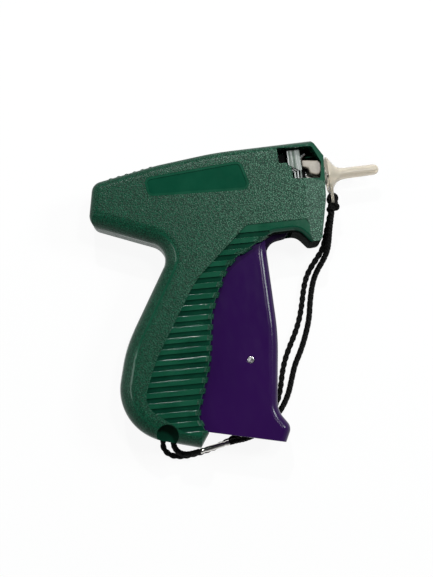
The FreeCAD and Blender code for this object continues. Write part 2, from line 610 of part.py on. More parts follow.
screws = []
for name, (x, y) in SCREWS.items():
    head = cylinder("head_" + name, (x, y, "screw_sunk"), "screw_head", "screw_head_tall")
    shank = cylinder("shank_" + name, (x, y, "screw_sunk"), "screw_round", "screw_length")
    screws.append(fuse("screw_" + name, head, shank))
node("cover_screws", fuse("cover_screws", *screws))
node("lanyard_post", cylinder("lanyard_post", ("notch_x", "notch_y", "lanyard_post_low"),
                              "lanyard_post_round", "notch_depth + 2.3 - lanyard_post_low"))

# ---------------------------------------------------------------- trigger
trigger_skin = plate("trigger_skin", TRIGGER, "mid - trigger_half", "trigger_width")
for level in ("mid - trigger_half", "mid + trigger_half"):
    round_edges(trigger_skin, "trigger_round",
                [halfway("shin", "crook", level), halfway("toe", "instep", level)])
channel_floor = "mid - trigger_half + trigger_side"
channel_tall = "trigger_width - 2 * trigger_side"
channel = plate("channel", CHANNEL, channel_floor, channel_tall, "trigger_wall")
pivot_bore = cylinder("pivot_bore", ("0", "0", "0"), "pivot_round + pin_play", "thick")
link_bore = cylinder("link_bore", ("link_x", "link_y", "0"), "link_round + pin_play", "thick")
node("trigger", cut("trigger", trigger_skin, channel, pivot_bore, link_bore))
node("trigger_pivot_pin", cylinder("trigger_pivot_pin", ("0", "0", "pin_seat"), "pivot_round",
                                   "thick - 2 * pin_seat"))
node("trigger_link_pin", cylinder("trigger_link_pin", ("link_x", "link_y", "mid - trigger_half"),
                                  "link_round", "trigger_width"))

# ---------------------------------------------------------------- drive lever
lever_low = "mid - lever_thick / 2"


def lever_bar(name, start, lengths, turn):
    """A bar of the lever, turned about the fulcrum from upright by the words in turn."""
    x, y = start
    spot = ("fulcrum_x + (%s) * cos(%s * 1 deg) - (%s) * sin(%s * 1 deg)" % (x, turn, y, turn),
            "fulcrum_y + (%s) * sin(%s * 1 deg) + (%s) * cos(%s * 1 deg)" % (x, turn, y, turn),
            lever_low)
    return box(name, spot, lengths, ((0, 0, 1), turn))


arm = lever_bar("lever_arm", ("-arm_width / 2", "0"), ("arm_width", "fork_reach", "lever_thick"),
                "lever_lean")
fork = lever_bar("lever_fork", ("-slider_pin_round - linkage_play", "fork_root"),
                 ("2 * (slider_pin_round + linkage_play)", "fork_reach", "lever_thick"),
                 "lever_lean")
foot = lever_bar("lever_foot", ("-foot_width / 2", "0"),
                 ("foot_width", "slot_far + link_round + 0.4 + slot_end_wall", "lever_thick"),
                 "foot_turn")
slot = lever_bar("lever_slot", ("-slot_half", "slot_near - link_round - 0.4"),
                 ("2 * slot_half", "slot_far - slot_near + 2 * link_round + 0.8", "lever_thick"),
                 "foot_turn")
lever_boss = cylinder("lever_boss", ("fulcrum_x", "fulcrum_y", lever_low), "lever_boss + 1",
                      "lever_thick")
lever_bore = cylinder("lever_bore", ("fulcrum_x", "fulcrum_y", "0"), "fulcrum_round + pin_play * 2",
                      "thick")
node("drive_lever", cut("drive_lever", fuse("lever_bars", arm, foot, lever_boss),
                        fork, slot, lever_bore))

bracket_plates = plate("bracket_plates", BRACKET, "mid - plate_outer", "2 * plate_outer")
bracket_gap = box("bracket_gap", ("plate_rear_x + 1.5", "-80", "mid - plate_inner"),
                  ("80", "80", "2 * plate_inner"))
bracket_holes = [cylinder("hole_" + name, (SCREWS[name][0], SCREWS[name][1], "0"),
                          "post_round + post_play", "thick") for name in ("post", "web")]
bracket_bore = cylinder("bracket_bore", ("fulcrum_x", "fulcrum_y", "0"),
                        "fulcrum_round + pin_play", "thick")
node("lever_bracket", cut("lever_bracket", bracket_plates, bracket_gap, bracket_bore,
                          *bracket_holes))
node("lever_pivot_pin", cylinder("lever_pivot_pin",
                                 ("fulcrum_x", "fulcrum_y", "mid - plate_outer - 0.5"),
                                 "fulcrum_round", "2 * plate_outer + 1"))

# ---------------------------------------------------------------- slider, rod and spring
slider_body = box("slider_body", ("slider_tail", "slider_low", "mid - slider_half"),
                  ("slider_front + slider_back", "slider_tall", "2 * slider_half"))
slider_way = box("slider_way", ("slider_tail + slider_heel", "slider_low - 1", "mid - slider_gap"),
                 ("slider_front + slider_back - slider_heel - slider_block", "slider_tall + 2",
                  "2 * slider_gap"))
slider_bore = cylinder("slider_bore", ("slider_pin_x", "axis_y", "0"),
                       "slider_pin_round + pin_play", "thick")
rod_bore = cylinder("rod_bore", ("slider_nose - slider_block + 1", "axis_y", "mid"),
                    "rod_round + pin_play", "slider_block", "X")
hook_hole = cylinder("hook_hole", ("slider_tail - 1", "axis_y", "mid"), "wire_round + pin_play",
                     "slider_heel + 2", "X")
node("slider", cut("slider", slider_body, slider_way, slider_bore, rod_bore, hook_hole))
node("slider_pin", cylinder("slider_pin", ("slider_pin_x", "axis_y", "mid - slider_half"),
                            "slider_pin_round", "2 * slider_half"))
node("push_rod", cylinder("push_rod", ("slider_nose - slider_block + 1", "axis_y", "mid"),
                          "rod_round", "rod_tip - slider_nose + slider_block - 1", "X"))


def spring(name):
    """A close coil with a straight leg at each end, drawn along X behind the slider."""
    wire = size("wire_round")
    round_ = size("spring_round")
    start = size("anchor_x + anchor_round") + 1.2
    end = size("slider_tail") - 1.2
    turns = size("spring_turns")
    helix = Part.makeHelix((end - start) / turns, end - start, round_)
    section = Part.Wire(Part.makeCircle(wire, V(round_, 0, 0), V(0, 1, 0)))
    coil = Part.Wire(helix.Edges).makePipeShell([section], True, True)
    legs = []
    for level, reach in ((0, -1.1), (end - start, 2.2)):
        legs.append(Part.makeCylinder(wire, round_, V(0, 0, level), V(1, 0, 0)))
        legs.append(Part.makeSphere(wire, V(0, 0, level)))
        legs.append(Part.makeCylinder(wire, abs(reach), V(0, 0, level), V(0, 0, reach)))
    whole = coil
    for leg in legs:
        whole = whole.fuse(leg)
    made = doc.addObject("Part::Feature", name)
    made.Shape = whole
    made.Placement = FreeCAD.Placement(V(start, size("axis_y"), size("mid")),
                                       FreeCAD.Rotation(V(0, 1, 0), 90))
    return made


node("return_spring", spring("return_spring"))

# ---------------------------------------------------------------- magazine and feed
block = box("block", ("block_rear", "block_low", "block_far"),
            ("block_front - block_rear", "block_high - block_low", "block_near - block_far"))
shelf = box("lock_shelf", ("block_front - 0.5", "shelf_low", "block_near - shelf_thick"),
            ("shelf_front - block_front + 0.5", "shelf_high - shelf_low", "shelf_thick"))
rod_way = cylinder("rod_way", ("block_rear - 1", "axis_y", "mid"), "rod_round + bore_play", "30", "X")
bar_way = box("bar_way", ("bar_start - bar_play", "axis_y - bar_round - bar_play",
                          "mid - bar_round - bar_play"),
              ("bar_length + 2 * bar_play", "40", "2 * (bar_round + bar_play)"))
filament_way = box("filament_way", ("bar_middle - filament_gap / 2", "axis_y - 1.6", "mid"),
                   ("filament_gap", "40", "20"))
wheel_way = box("wheel_way", ("wheel_x - pocket_play", "wheel_y - wheel_tip - pocket_play",
                              "block_far - 1"),
                ("wheel_wide + 2 * pocket_play", "40", "mid - block_far + 1"))
ratchet_way = box("ratchet_way", ("ratchet_x - pocket_play", "block_low + 1.4", "block_far - 1"),
                  ("ratchet_wide + 2 * pocket_play", "40",
                   "wheel_z + ratchet_tip + pocket_play + 1 - block_far"))
shaft_way = cylinder("shaft_way", ("shaft_rear - 0.2", "wheel_y", "wheel_z"),
                     "shaft_round + pin_play * 2", "30", "X")
pawl_way = cylinder("pawl_way", ("ratchet_x - 2", "pawl_y", "pawl_z"), "pawl_round + pin_play * 2",
                    "30", "X")
lock_way = cylinder("lock_way", ("lock_x", "lock_y", "block_near - shelf_thick - 1"),
                    "lock_pin + pin_play", "10")
hub_seat = cylinder("hub_seat", ("block_front", "axis_y", "mid"), "hub_round + 0.1", "20", "X")
node("magazine_block", cut("magazine_block", fuse("block_body", block, shelf), rod_way, bar_way,
                           filament_way, wheel_way, ratchet_way, shaft_way, pawl_way, lock_way,
                           hub_seat))


def toothed(name, x, wide, tip, root, teeth, crest, lean, phase):
    """A wheel on the feed shaft: a disc with a ring of teeth; phase is in tooth steps."""
    count = int(size(teeth))
    step = 2 * math.pi / count
    high, low, half = size(tip), size(root), size(crest) / 2 / size(tip)
    points = []
    for index in range(count):
        middle = (index + phase) * step
        for angle, radius in ((middle - step * (0.42 - lean), low), (middle - half, high),
                              (middle + half, high), (middle + step * (0.42 - 0.8 * lean), low)):
            points.append(V(0, radius * math.sin(angle), radius * math.cos(angle)))
    points.append(points[0])
    disc = Part.Face(Part.makePolygon(points)).extrude(V(size(wide), 0, 0))
    bore = Part.makeCylinder(size("shaft_round + pin_play"), size(wide) + 2, V(-1, 0, 0), V(1, 0, 0))
    made = doc.addObject("Part::Feature", name)
    made.Shape = disc.cut(bore)
    made.Placement = FreeCAD.Placement(V(size(x), size("wheel_y"), size("wheel_z")),
                                       FreeCAD.Rotation())
    return made


node("feed_wheel", toothed("feed_wheel", "wheel_x", "wheel_wide", "wheel_tip", "wheel_root",
                           "wheel_teeth", "tooth_tip", 0.1, 0))
node("ratchet_wheel", toothed("ratchet_wheel", "ratchet_x", "ratchet_wide", "ratchet_tip",
                              "ratchet_root", "wheel_teeth", "tooth_tip", 0.2, 0.5))
node("feed_shaft", cylinder("feed_shaft", ("shaft_rear", "wheel_y", "wheel_z"), "shaft_round",
                            "block_front - shaft_rear", "X"))


def tapered(name, big, small, tall, start, end):
    """A flat lever: a large disc at the start and a small one at the end, joined by a web."""
    along = end - start
    swing = math.acos((big - small) / along.Length)
    bearing = math.atan2(along.y, along.x)
    points = [centre + V(math.cos(angle), math.sin(angle), 0) * radius
              for centre, radius in ((start, big), (end, small))
              for angle in (bearing + swing, bearing - swing)]
    web = Part.Face(Part.makePolygon([points[0], points[2], points[3], points[1], points[0]]))
    whole = web.extrude(V(0, 0, tall)).fuse(Part.makeCylinder(big, tall, start))
    whole = whole.fuse(Part.makeCylinder(small, tall, end)).removeSplitter()
    made = doc.addObject("Part::Feature", name)
    made.Shape = whole
    return made


pawl_arm = tapered("pawl_arm", size("pawl_boss"), size("pawl_tip"), size("pawl_thick"), V(0, 0, 0),
                   V(size("wheel_y - ratchet_tip + pawl_depth - pawl_y"), size("wheel_z - pawl_z"), 0))
pawl_arm.Placement.Rotation = FreeCAD.Rotation(V(1, 1, 1), 120)
place(pawl_arm, ("ratchet_x + 0.1", "pawl_y", "pawl_z"))
pawl_pin = cylinder("pawl_pin", ("ratchet_x - 1.8", "pawl_y", "pawl_z"), "pawl_round",
                    "block_front - ratchet_x + 1.6", "X")
node("feed_pawl", fuse("feed_pawl", pawl_arm, pawl_pin))
node("detent_spring", box("detent_spring", ("ratchet_x + 0.1", "wheel_y + ratchet_tip + 0.05",
                                            "block_far + 0.4"),
                          ("pawl_thick", "detent_thick",
                           "wheel_z + ratchet_tip + pocket_play - block_far - 0.4")))
node("knife", box("knife", ("block_front + 0.1", "axis_y - 1", "mid + needle_round + 0.2"),
                  ("knife_thick", "knife_tall", "knife_wide")))

# ---------------------------------------------------------------- fasteners
fasteners = []
for index in range(int(size("fastener_count"))):
    bar_y = "axis_y + %d * feed_pitch" % (index + 2)
    hang = "filament_x + %d * filament_step" % index
    level = "paddle_z + %d * paddle_step" % index
    bar = cylinder("bar_%d" % index, ("bar_start", bar_y, "mid"), "bar_round", "bar_length", "X")
    lead = tube_along("lead_%d" % index, [
        (size("bar_middle"), size(bar_y), size("mid")),
        (size("bar_middle"), size(bar_y), size("filament_back") - 0.4),
        (size(hang), size(bar_y) - 0.9, size("filament_back")),
        (size(hang), size("filament_low"), size("filament_back")),
        (size(hang), size("filament_low"), size("filament_front")),
        (size(hang), size("paddle_low") + 0.5, size(level) + size("paddle_thick") / 2),
    ], size("filament_round"))
    paddle = box("paddle_%d" % index, ("paddle_x", "paddle_low", level),
                 ("paddle_wide", "paddle_tall", "paddle_thick"))
    fasteners.append(fuse("fastener_%d" % index, bar, lead, paddle))
node("tag_fasteners", fuse("tag_fasteners", *fasteners))

# ---------------------------------------------------------------- needle and its lock
hub = turned("hub_turned", [
    ("hub_rear", "0"), ("hub_front", "0"), ("hub_front", "collar_round"),
    ("hub_step", "collar_round"), ("hub_step", "hub_round"), ("hub_rear", "hub_round")])
needle_way = cylinder("needle_way", ("needle_start", "axis_y", "mid"), "needle_round + pin_play",
                      "40", "X")
hub_rod_way = cylinder("hub_rod_way", ("hub_rear - 1", "axis_y", "mid"), "rod_round + bore_play",
                       "20", "X")
hub_slit = box("hub_slit", ("hub_rear - 1", "axis_y - needle_slot / 2", "mid"),
               ("20", "needle_slot", "20"))
node("needle_hub", cut("needle_hub", hub, needle_way, hub_rod_way, hub_slit))

needle = cylinder("needle", ("needle_start", "axis_y", "mid"), "needle_round",
                  "needle_tip - needle_start", "X")
needle_hole = cylinder("needle_hole", ("needle_start - 1", "axis_y", "mid"), "needle_bore", "50", "X")
needle_slit = box("needle_slit", ("needle_start - 1", "axis_y - needle_slot / 2", "mid"),
                  ("50", "needle_slot", "5"))
needle_point = box("needle_point", ("needle_tip - needle_bevel", "axis_y - 3", "mid + needle_round"),
                   ("10", "6", "6"), ((0, 1, 0), "34"))
node("needle_tube", cut("needle_tube", needle, needle_hole, needle_slit, needle_point))


lock_body = plate("lock_body", LOCK, "lock_low", "lock_tall")
lock_bore = cylinder("lock_bore", ("lock_x", "lock_y", "0"), "lock_pin + pin_play * 2",
                     "lock_low + lock_tall - lock_face")
node("needle_lock_lever", cut("needle_lock_lever", lock_body, lock_bore))
node("lock_pivot_pin", cylinder("lock_pivot_pin", ("lock_x", "lock_y", "block_near - shelf_thick + 0.1"),
                                "lock_pin",
                                "lock_low + lock_tall - lock_face - block_near + shelf_thick - 0.2"))

# ---------------------------------------------------------------- needle cap
cap_body = turned("cap_turned", [
    ("cap_rear", "cap_flange - cap_wall - 0.3"), ("cap_rear", "cap_flange"),
    ("cap_rear + flange_thick", "cap_flange"), ("cap_rear + 2.3", "cap_tube + 4.4"),
    ("cap_rear + 3.5", "cap_tube + 2.5"), ("cap_rear + 5.3", "cap_tube + 0.7"),
    ("cap_rear + 7.9", "cap_tube - 0.1"), ("cap_tip - 1.6", "cap_tube"),
    ("cap_tip - 0.4", "cap_tube - 0.8"), ("cap_tip", "cap_tube - 1.9"), ("cap_tip", "0"),
    ("cap_tip - 0.9", "0"), ("cap_tip - 0.9", "cap_bore"), ("cap_rear + 6.0", "cap_bore"),
    ("cap_rear + 4.2", "cap_tube + 0.7"), ("cap_rear + 2.0", "cap_tube + 3.4")])
tab_plate = box("tab_plate", ("tab_x", "tab_low", "mid - tab_wide / 2"),
                ("tab_thick", "axis_y - cap_flange + 2.2 - tab_low", "tab_wide"))
eye = cylinder("eye", ("tab_x - 2", "eye_y", "mid"), "eye_round", "8", "X")
tab = cut("tab", tab_plate, eye)
node("needle_cap", fuse("needle_cap", cap_body, tab))


# ---------------------------------------------------------------- lanyard
node("lanyard_strand_near", tube_along("lanyard_strand_near", NEAR_STRAND, size("cord_round")))
node("lanyard_strand_far", tube_along("lanyard_strand_far", FAR_STRAND, size("cord_round")))

ferrule_from, ferrule_to = V(*FERRULE[0]), V(*FERRULE[1])
ferrule_way = ferrule_to - ferrule_from
ferrule = doc.addObject("Part::Cylinder", "ferrule")
bind(ferrule, "Radius", "ferrule_round")
ferrule_play = V(ferrule_way).normalize() * size("ferrule_play")
ferrule.Height = (ferrule_way - ferrule_play * 2).Length
ferrule.Placement = FreeCAD.Placement(ferrule_from + ferrule_play,
                                      FreeCAD.Rotation(V(0, 0, 1), ferrule_way))
node("lanyard_ferrule", ferrule)

hitch = doc.addObject("Part::Torus", "hitch")
bind(hitch, "Radius1", "hitch_ring")
bind(hitch, "Radius2", "hitch_round")
place(hitch, ("hitch_x", "hitch_y", "mid"))
node("lanyard_hitch", hitch)


# ---------------------------------------------------------------- check and write
def main():
    doc.recompute()
    for thing in doc.Objects:
        if any(state in ("Invalid", "Error") for state in thing.State):
            raise RuntimeError("failed: %s %s %s" % (thing.Name, thing.State,
                                                     thing.getStatusString()))
    for name, thing in NODES:
        if thing.Shape.isNull() or not thing.Shape.isValid():
            raise RuntimeError("bad shape: " + name)
    os.makedirs("parts", exist_ok=True)
    for name, thing in NODES:
        thing.Shape.exportStep("parts/%s.step" % name)
        print("%-22s %6.2f cm3, %d solids" % (name, thing.Shape.Volume / 1000,
                                              len(thing.Shape.Solids)))


main()
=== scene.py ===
"""A tag attacher gun on a pale table: finished pieces, materials, light and camera.

Sizes are in millimetres, and MM turns them into the scene's metres.  X runs along the
needle, Y from the grip up to the barrel and Z up from the table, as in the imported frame.
Lamps, noise scales and bump depths are given in metres.
"""
import json
import math

import bmesh
import bpy
from mathutils import Matrix, Vector


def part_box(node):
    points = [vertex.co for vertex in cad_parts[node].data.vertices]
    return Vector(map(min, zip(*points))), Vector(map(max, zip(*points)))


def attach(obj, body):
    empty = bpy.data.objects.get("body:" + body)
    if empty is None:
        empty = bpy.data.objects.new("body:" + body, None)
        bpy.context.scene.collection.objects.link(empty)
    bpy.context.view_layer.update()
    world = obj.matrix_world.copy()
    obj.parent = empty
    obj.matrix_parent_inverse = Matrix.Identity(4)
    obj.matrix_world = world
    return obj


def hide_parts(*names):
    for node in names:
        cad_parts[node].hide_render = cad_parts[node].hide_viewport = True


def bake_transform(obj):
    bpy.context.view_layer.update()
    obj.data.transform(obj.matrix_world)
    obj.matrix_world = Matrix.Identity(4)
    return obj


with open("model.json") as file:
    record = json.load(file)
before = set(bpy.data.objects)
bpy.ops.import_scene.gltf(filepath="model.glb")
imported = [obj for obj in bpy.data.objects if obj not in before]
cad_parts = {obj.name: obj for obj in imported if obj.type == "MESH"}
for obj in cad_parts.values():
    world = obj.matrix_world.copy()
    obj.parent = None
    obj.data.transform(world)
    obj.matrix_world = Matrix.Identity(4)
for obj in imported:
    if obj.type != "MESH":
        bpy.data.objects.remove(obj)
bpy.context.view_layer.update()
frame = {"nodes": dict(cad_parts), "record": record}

MM = 0.001
SAME_POINT = 0.002


# ---------------------------------------------------------------- sizes, in millimetres
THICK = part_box("right_cover")[1].z / MM
MIDDLE = THICK / 2
AXIS_Y = sum(corner.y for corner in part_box("needle_tube")) / 2 / MM
CAP_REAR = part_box("needle_cap")[0].x / MM
CAP_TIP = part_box("needle_cap")[1].x / MM
TAB_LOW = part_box("needle_cap")[0].y / MM
FLANGE_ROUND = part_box("needle_cap")[1].y / MM - AXIS_Y
CORD_ROUND = 1.4
FERRULE_ENDS = ((-40.2, -101.6, 4.3), (-54.2, -103.9, 4.3))
FERRULE_ROUND = 1.3

# Camera: where it looks, its turn about the view line, its tilt, its distance, its lens
# and sensor, and the nearest thing that it shows, in metres.
LOOK_AT = (-37.03, -31.10, 12.5)
VIEW_TURN = math.radians(7.5)
VIEW_TILT = math.radians(6.6)
VIEW_AWAY = 604.0
VIEW_LENS = 81.9
VIEW_SENSOR = 36
VIEW_NEAR = 0.05


# ---------------------------------------------------------------- small tools
def select_only(*things):
    """Leaves object mode with just these objects selected, the last one active."""
    if bpy.context.object and bpy.context.object.mode != "OBJECT":
        bpy.ops.object.mode_set(mode="OBJECT")
    bpy.ops.object.select_all(action="DESELECT")
    for thing in things:
        thing.select_set(True)
        bpy.context.view_layer.objects.active = thing


def edit(thing, mode="FACE"):
    """Opens edit mode on one object with nothing selected."""
    select_only(thing)
    bpy.ops.object.mode_set(mode="EDIT")
    bpy.ops.mesh.select_mode(type=mode)
    bpy.ops.mesh.select_all(action="DESELECT")
    return bmesh.from_edit_mesh(thing.data)


def close_edit():
    """Back to object mode."""
    bpy.ops.object.mode_set(mode="OBJECT")


def pick_faces(work, thing, test):
    """Selects the faces that pass a test of their middle, in mm, and their normal."""
    for face in work.faces:
        if test(face.calc_center_median() / MM, face.normal):
            face.select = True
    work.select_flush_mode()
    bmesh.update_edit_mesh(thing.data)


def apply_modifier(thing, kind, **settings):
    """Adds a modifier with its settings and applies it."""
    select_only(thing)
    modifier = thing.modifiers.new(kind.title(), kind)
    for name, value in settings.items():
        setattr(modifier, name, value)
    bpy.ops.object.modifier_apply(modifier=modifier.name)


AREA_WEIGHT = 50


def smooth(thing, degrees=32):
    """Smooth shading below an angle, with the wide faces kept flat."""
    select_only(thing)
    bpy.ops.object.shade_smooth_by_angle(angle=math.radians(degrees))
    apply_modifier(thing, "WEIGHTED_NORMAL", keep_sharp=True, weight=AREA_WEIGHT)


def settle(thing):
    """Puts an object's place into its mesh, so that the object is at the origin."""
    select_only(thing)
    bpy.ops.object.transform_apply(location=True, rotation=True, scale=True)


def joined(name, things):
    """Several pieces made one."""
    select_only(*things)
    bpy.ops.object.join()
    whole = bpy.context.object
    whole.name = name
    return whole


def block(name, low, high):
    """A box between two corners, as a start for shaping."""
    bpy.ops.object.select_all(action="DESELECT")
    middle = [(a + b) / 2 * MM for a, b in zip(low, high)]
    bpy.ops.mesh.primitive_cube_add(size=1, location=middle)
    thing = bpy.context.object
    thing.name = name
    thing.scale = [(b - a) * MM for a, b in zip(low, high)]
    settle(thing)
    return thing


def turned(name, stations, centre=(AXIS_Y, MIDDLE), steps=48):
    """A profile of (x, radius) stations spun about a line along X through the centre.

    A profile that leaves the line is closed on itself, which gives a hollow piece.
    """
    bpy.ops.object.select_all(action="DESELECT")
    bpy.ops.mesh.primitive_plane_add(size=MM, location=(0, 0, 0))
    thing = bpy.context.object
    thing.name = name
    edit(thing, "VERT")
    bpy.ops.mesh.select_all(action="SELECT")
    bpy.ops.mesh.merge(type="CENTER")
    spots = [Vector((x, centre[0] + radius, centre[1])) * MM for x, radius in stations]
    bpy.ops.transform.translate(value=spots[0])
    if stations[0][1] or stations[-1][1]:
        spots.append(spots[0])
    for before, after in zip(spots, spots[1:]):
        bpy.ops.mesh.extrude_region_move(TRANSFORM_OT_translate={"value": after - before})
    bpy.ops.mesh.select_all(action="SELECT")
    bpy.ops.mesh.spin(steps=steps, angle=2 * math.pi, axis=(1, 0, 0),
                      center=(0, centre[0] * MM, centre[1] * MM))
    tidy_mesh()
    close_edit()
    return thing


def tidy_mesh():
    """In edit mode: merges doubles and points the faces outwards."""
    bpy.ops.mesh.select_all(action="SELECT")
    bpy.ops.mesh.remove_doubles(threshold=SAME_POINT * MM)
    bpy.ops.mesh.normals_make_consistent(inside=False)


CURVE_ORDER = 3
WIRE_ROUNDING = 3


def routed_curve(name, route, kind):
    """A curve object along a route, straight or smooth: returns it and its spline."""
    curve = bpy.data.curves.new(name, "CURVE")
    curve.dimensions = "3D"
    spline = curve.splines.new(kind)
    spline.points.add(len(route) - 1)
    for point, spot in zip(spline.points, route):
        point.co = (*(Vector(spot) * MM), 1)
    if kind == "NURBS":
        spline.use_endpoint_u = True
        spline.order_u = CURVE_ORDER
    thing = bpy.data.objects.new(name, curve)
    bpy.context.collection.objects.link(thing)
    return thing, spline


def wire(name, route, radius, kind="POLY"):
    """A round wire along a route, with closed ends, as a mesh."""
    thing, _ = routed_curve(name, route, kind)
    thing.data.bevel_depth = radius * MM
    thing.data.bevel_resolution = WIRE_ROUNDING
    thing.data.use_fill_caps = True
    select_only(thing)
    bpy.ops.object.convert(target="MESH")
    edit(thing, "VERT")
    tidy_mesh()
    close_edit()
    return thing


# ---------------------------------------------------------------- materials
# The part of a noise's values that is used, and how far roughness strays from its middle.
NOISE_SPAN = (0.3, 0.7)
PLASTIC_SPREAD = (-0.06, 0.08)
CLEAR_SPREAD = (-0.05, 0.1)
METAL_SPREAD = (-0.06, 0.1)
CLEAR_IOR = 1.3


def material(name):
    """A new node material: returns it, its shader, and what adds and joins its nodes."""
    made = bpy.data.materials.new(name)
    made.use_nodes = True
    tree = made.node_tree
    shader = tree.nodes["Principled BSDF"]

    def add(kind, **values):
        node = tree.nodes.new(kind)
        for key, value in values.items():
            setattr(node, key, value)
        return node

    return made, shader, add, tree.links.new


def srgb(red, green, blue):
    """A colour given as 0 to 255 screen values, made linear."""
    def linear(value):
        value /= 255
        return value / 12.92 if value <= 0.04045 else ((value + 0.055) / 1.055) ** 2.4
    return (linear(red), linear(green), linear(blue), 1)


def object_space(add, link, scale=(1, 1, 1)):
    """Object coordinates through a mapping."""
    coordinates = add("ShaderNodeTexCoord")
    mapping = add("ShaderNodeMapping")
    mapping.inputs["Scale"].default_value = scale
    link(coordinates.outputs["Object"], mapping.inputs["Vector"])
    return mapping.outputs["Vector"]


def noise(add, link, vector, scale, detail=3.0):
    """A noise pattern's value; the scale is how often it repeats in a metre."""
    made = add("ShaderNodeTexNoise")
    made.inputs["Scale"].default_value = scale
    made.inputs["Detail"].default_value = detail
    link(vector, made.inputs["Vector"])
    return made.outputs["Fac"]


def coloured(add, link, value, shader, dark, light, start=0.35, end=0.68):
    """Drives the shader's colour from a value, between two colours."""
    ramp = add("ShaderNodeValToRGB")
    ramp.color_ramp.elements[0].position = start
    ramp.color_ramp.elements[0].color = dark
    ramp.color_ramp.elements[1].position = end
    ramp.color_ramp.elements[1].color = light
    link(value, ramp.inputs["Fac"])
    link(ramp.outputs["Color"], shader.inputs["Base Color"])
    return ramp.outputs["Color"]


def bumped(add, link, height, shader, distance, strength=1.0, below=None):
    """Feeds a height into the shader's normal, over another bump if there is one."""
    bump = add("ShaderNodeBump")
    bump.inputs["Strength"].default_value = strength
    bump.inputs["Distance"].default_value = distance
    link(height, bump.inputs["Height"])
    if below:
        link(below.outputs["Normal"], bump.inputs["Normal"])
    link(bump.outputs["Normal"], shader.inputs["Normal"])
    return bump


def set_span(span, start, end, low, high):
    """Sets what a Map Range node takes in and gives out."""
    numbers = {"From Min": start, "From Max": end, "To Min": low, "To Max": high}
    for name, number in numbers.items():
        span.inputs[name].default_value = number


def spanned(add, link, value, start, end, low, high):
    """A value stretched from one span to another."""
    span = add("ShaderNodeMapRange")
    set_span(span, start, end, low, high)
    link(value, span.inputs["Value"])
    return span.outputs["Result"]


def roughened(add, link, value, shader, low, high):
    """Drives the shader's roughness from a noise's value."""
    link(spanned(add, link, value, *NOISE_SPAN, low, high), shader.inputs["Roughness"])


# The grain's painted glints are light spots in the colour. Given here: their colour, how far
# from a cell's middle they fade, and their share at the two ends of a stretch along X. The
# share rises towards the nose as a painted sheen, where the lamps light the grain most.
PAINTED_GLINT_COLOUR = srgb(104, 150, 126)
PAINTED_GLINT_FADE = (0.42, 0.2)
PAINTED_SHEEN_STRETCH = (-0.06, 0.014)
PAINTED_SHEEN_SHARE = (0.1, 0.72)

# Where a colour Mix node takes its factor and two colours, and gives the result.
MIX_FACTOR, MIX_FIRST, MIX_SECOND, MIX_RESULT = 0, 6, 7, 2


def cells(add, link, vector, scale, feature="F1"):
    """The distance to the nearest cell's middle."""
    made = add("ShaderNodeTexVoronoi", feature=feature)
    made.inputs["Scale"].default_value = scale
    link(vector, made.inputs["Vector"])
    return made.outputs["Distance"]


def grained_green_painted_glints():
    """Housing plastic with a moulded grain of small pits and bumps, and painted glints that
    thicken into a painted sheen towards the nose.
    """
    made, shader, add, link = material("green_grained_painted_glints")
    vector = object_space(add, link)
    speckle = noise(add, link, vector, scale=1900, detail=1)
    base = coloured(add, link, speckle, shader, srgb(0, 38, 24), srgb(12, 68, 48),
                    start=0.4, end=0.68)
    # Painted glints: light spots in the base colour, their share rising towards the nose as a
    # painted sheen.
    painted_glints = spanned(add, link, cells(add, link, vector, scale=1700), *PAINTED_GLINT_FADE, 0.0, 1.0)
    split = add("ShaderNodeSeparateXYZ")
    link(vector, split.inputs["Vector"])
    share = spanned(add, link, split.outputs["X"], *PAINTED_SHEEN_STRETCH, *PAINTED_SHEEN_SHARE)
    amount = add("ShaderNodeMath", operation="MULTIPLY")
    link(painted_glints, amount.inputs[0])
    link(share, amount.inputs[1])
    mix = add("ShaderNodeMix", data_type="RGBA")
    link(amount.outputs["Value"], mix.inputs[MIX_FACTOR])
    link(base, mix.inputs[MIX_FIRST])
    mix.inputs[MIX_SECOND].default_value = PAINTED_GLINT_COLOUR
    link(mix.outputs[MIX_RESULT], shader.inputs["Base Color"])
    pits = cells(add, link, vector, scale=1500, feature="SMOOTH_F1")
    coarse = bumped(add, link, pits, shader, distance=0.0002, strength=0.6)
    fine = noise(add, link, vector, scale=3200)
    bumped(add, link, fine, shader, distance=0.0001, strength=0.5, below=coarse)
    roughened(add, link, speckle, shader, low=0.46, high=0.3)
    shader.inputs["Specular IOR Level"].default_value = 0.17
    return made


def smooth_green(name, dark, light, low, high):
    """The same plastic where the mould was smooth; low and high are its roughness."""
    made, shader, add, link = material(name)
    vector = object_space(add, link)
    coloured(add, link, noise(add, link, vector, scale=90, detail=4), shader, dark, light)
    waves = noise(add, link, vector, scale=260)
    bumped(add, link, waves, shader, distance=0.00003, strength=0.15)
    roughened(add, link, waves, shader, low, high)
    shader.inputs["Specular IOR Level"].default_value = 0.35
    return made


def glossy_purple():
    """Trigger plastic: smooth, with faint flow waves and fine rub marks."""
    made, shader, add, link = material("purple_gloss")
    vector = object_space(add, link, scale=(1, 0.35, 1))
    shades = noise(add, link, vector, scale=35, detail=2)
    coloured(add, link, shades, shader, srgb(33, 8, 58), srgb(39, 12, 64))
    waves = noise(add, link, vector, scale=90, detail=3)
    bumped(add, link, waves, shader, distance=0.00002, strength=0.15)
    rubs = noise(add, link, vector, scale=320, detail=5)
    roughened(add, link, rubs, shader, low=0.15, high=0.21)
    shader.inputs["Specular IOR Level"].default_value = 0.2
    return made


def plain_plastic(name, dark, light, roughness, shine=0.5):
    """Moulded plastic with a faint grain; shine is its specular level."""
    made, shader, add, link = material(name)
    grain = noise(add, link, object_space(add, link), scale=420)
    coloured(add, link, grain, shader, dark, light)
    bumped(add, link, grain, shader, distance=0.00003, strength=0.4)
    roughened(add, link, grain, shader, *(roughness + change for change in PLASTIC_SPREAD))
    shader.inputs["Specular IOR Level"].default_value = shine
    return made


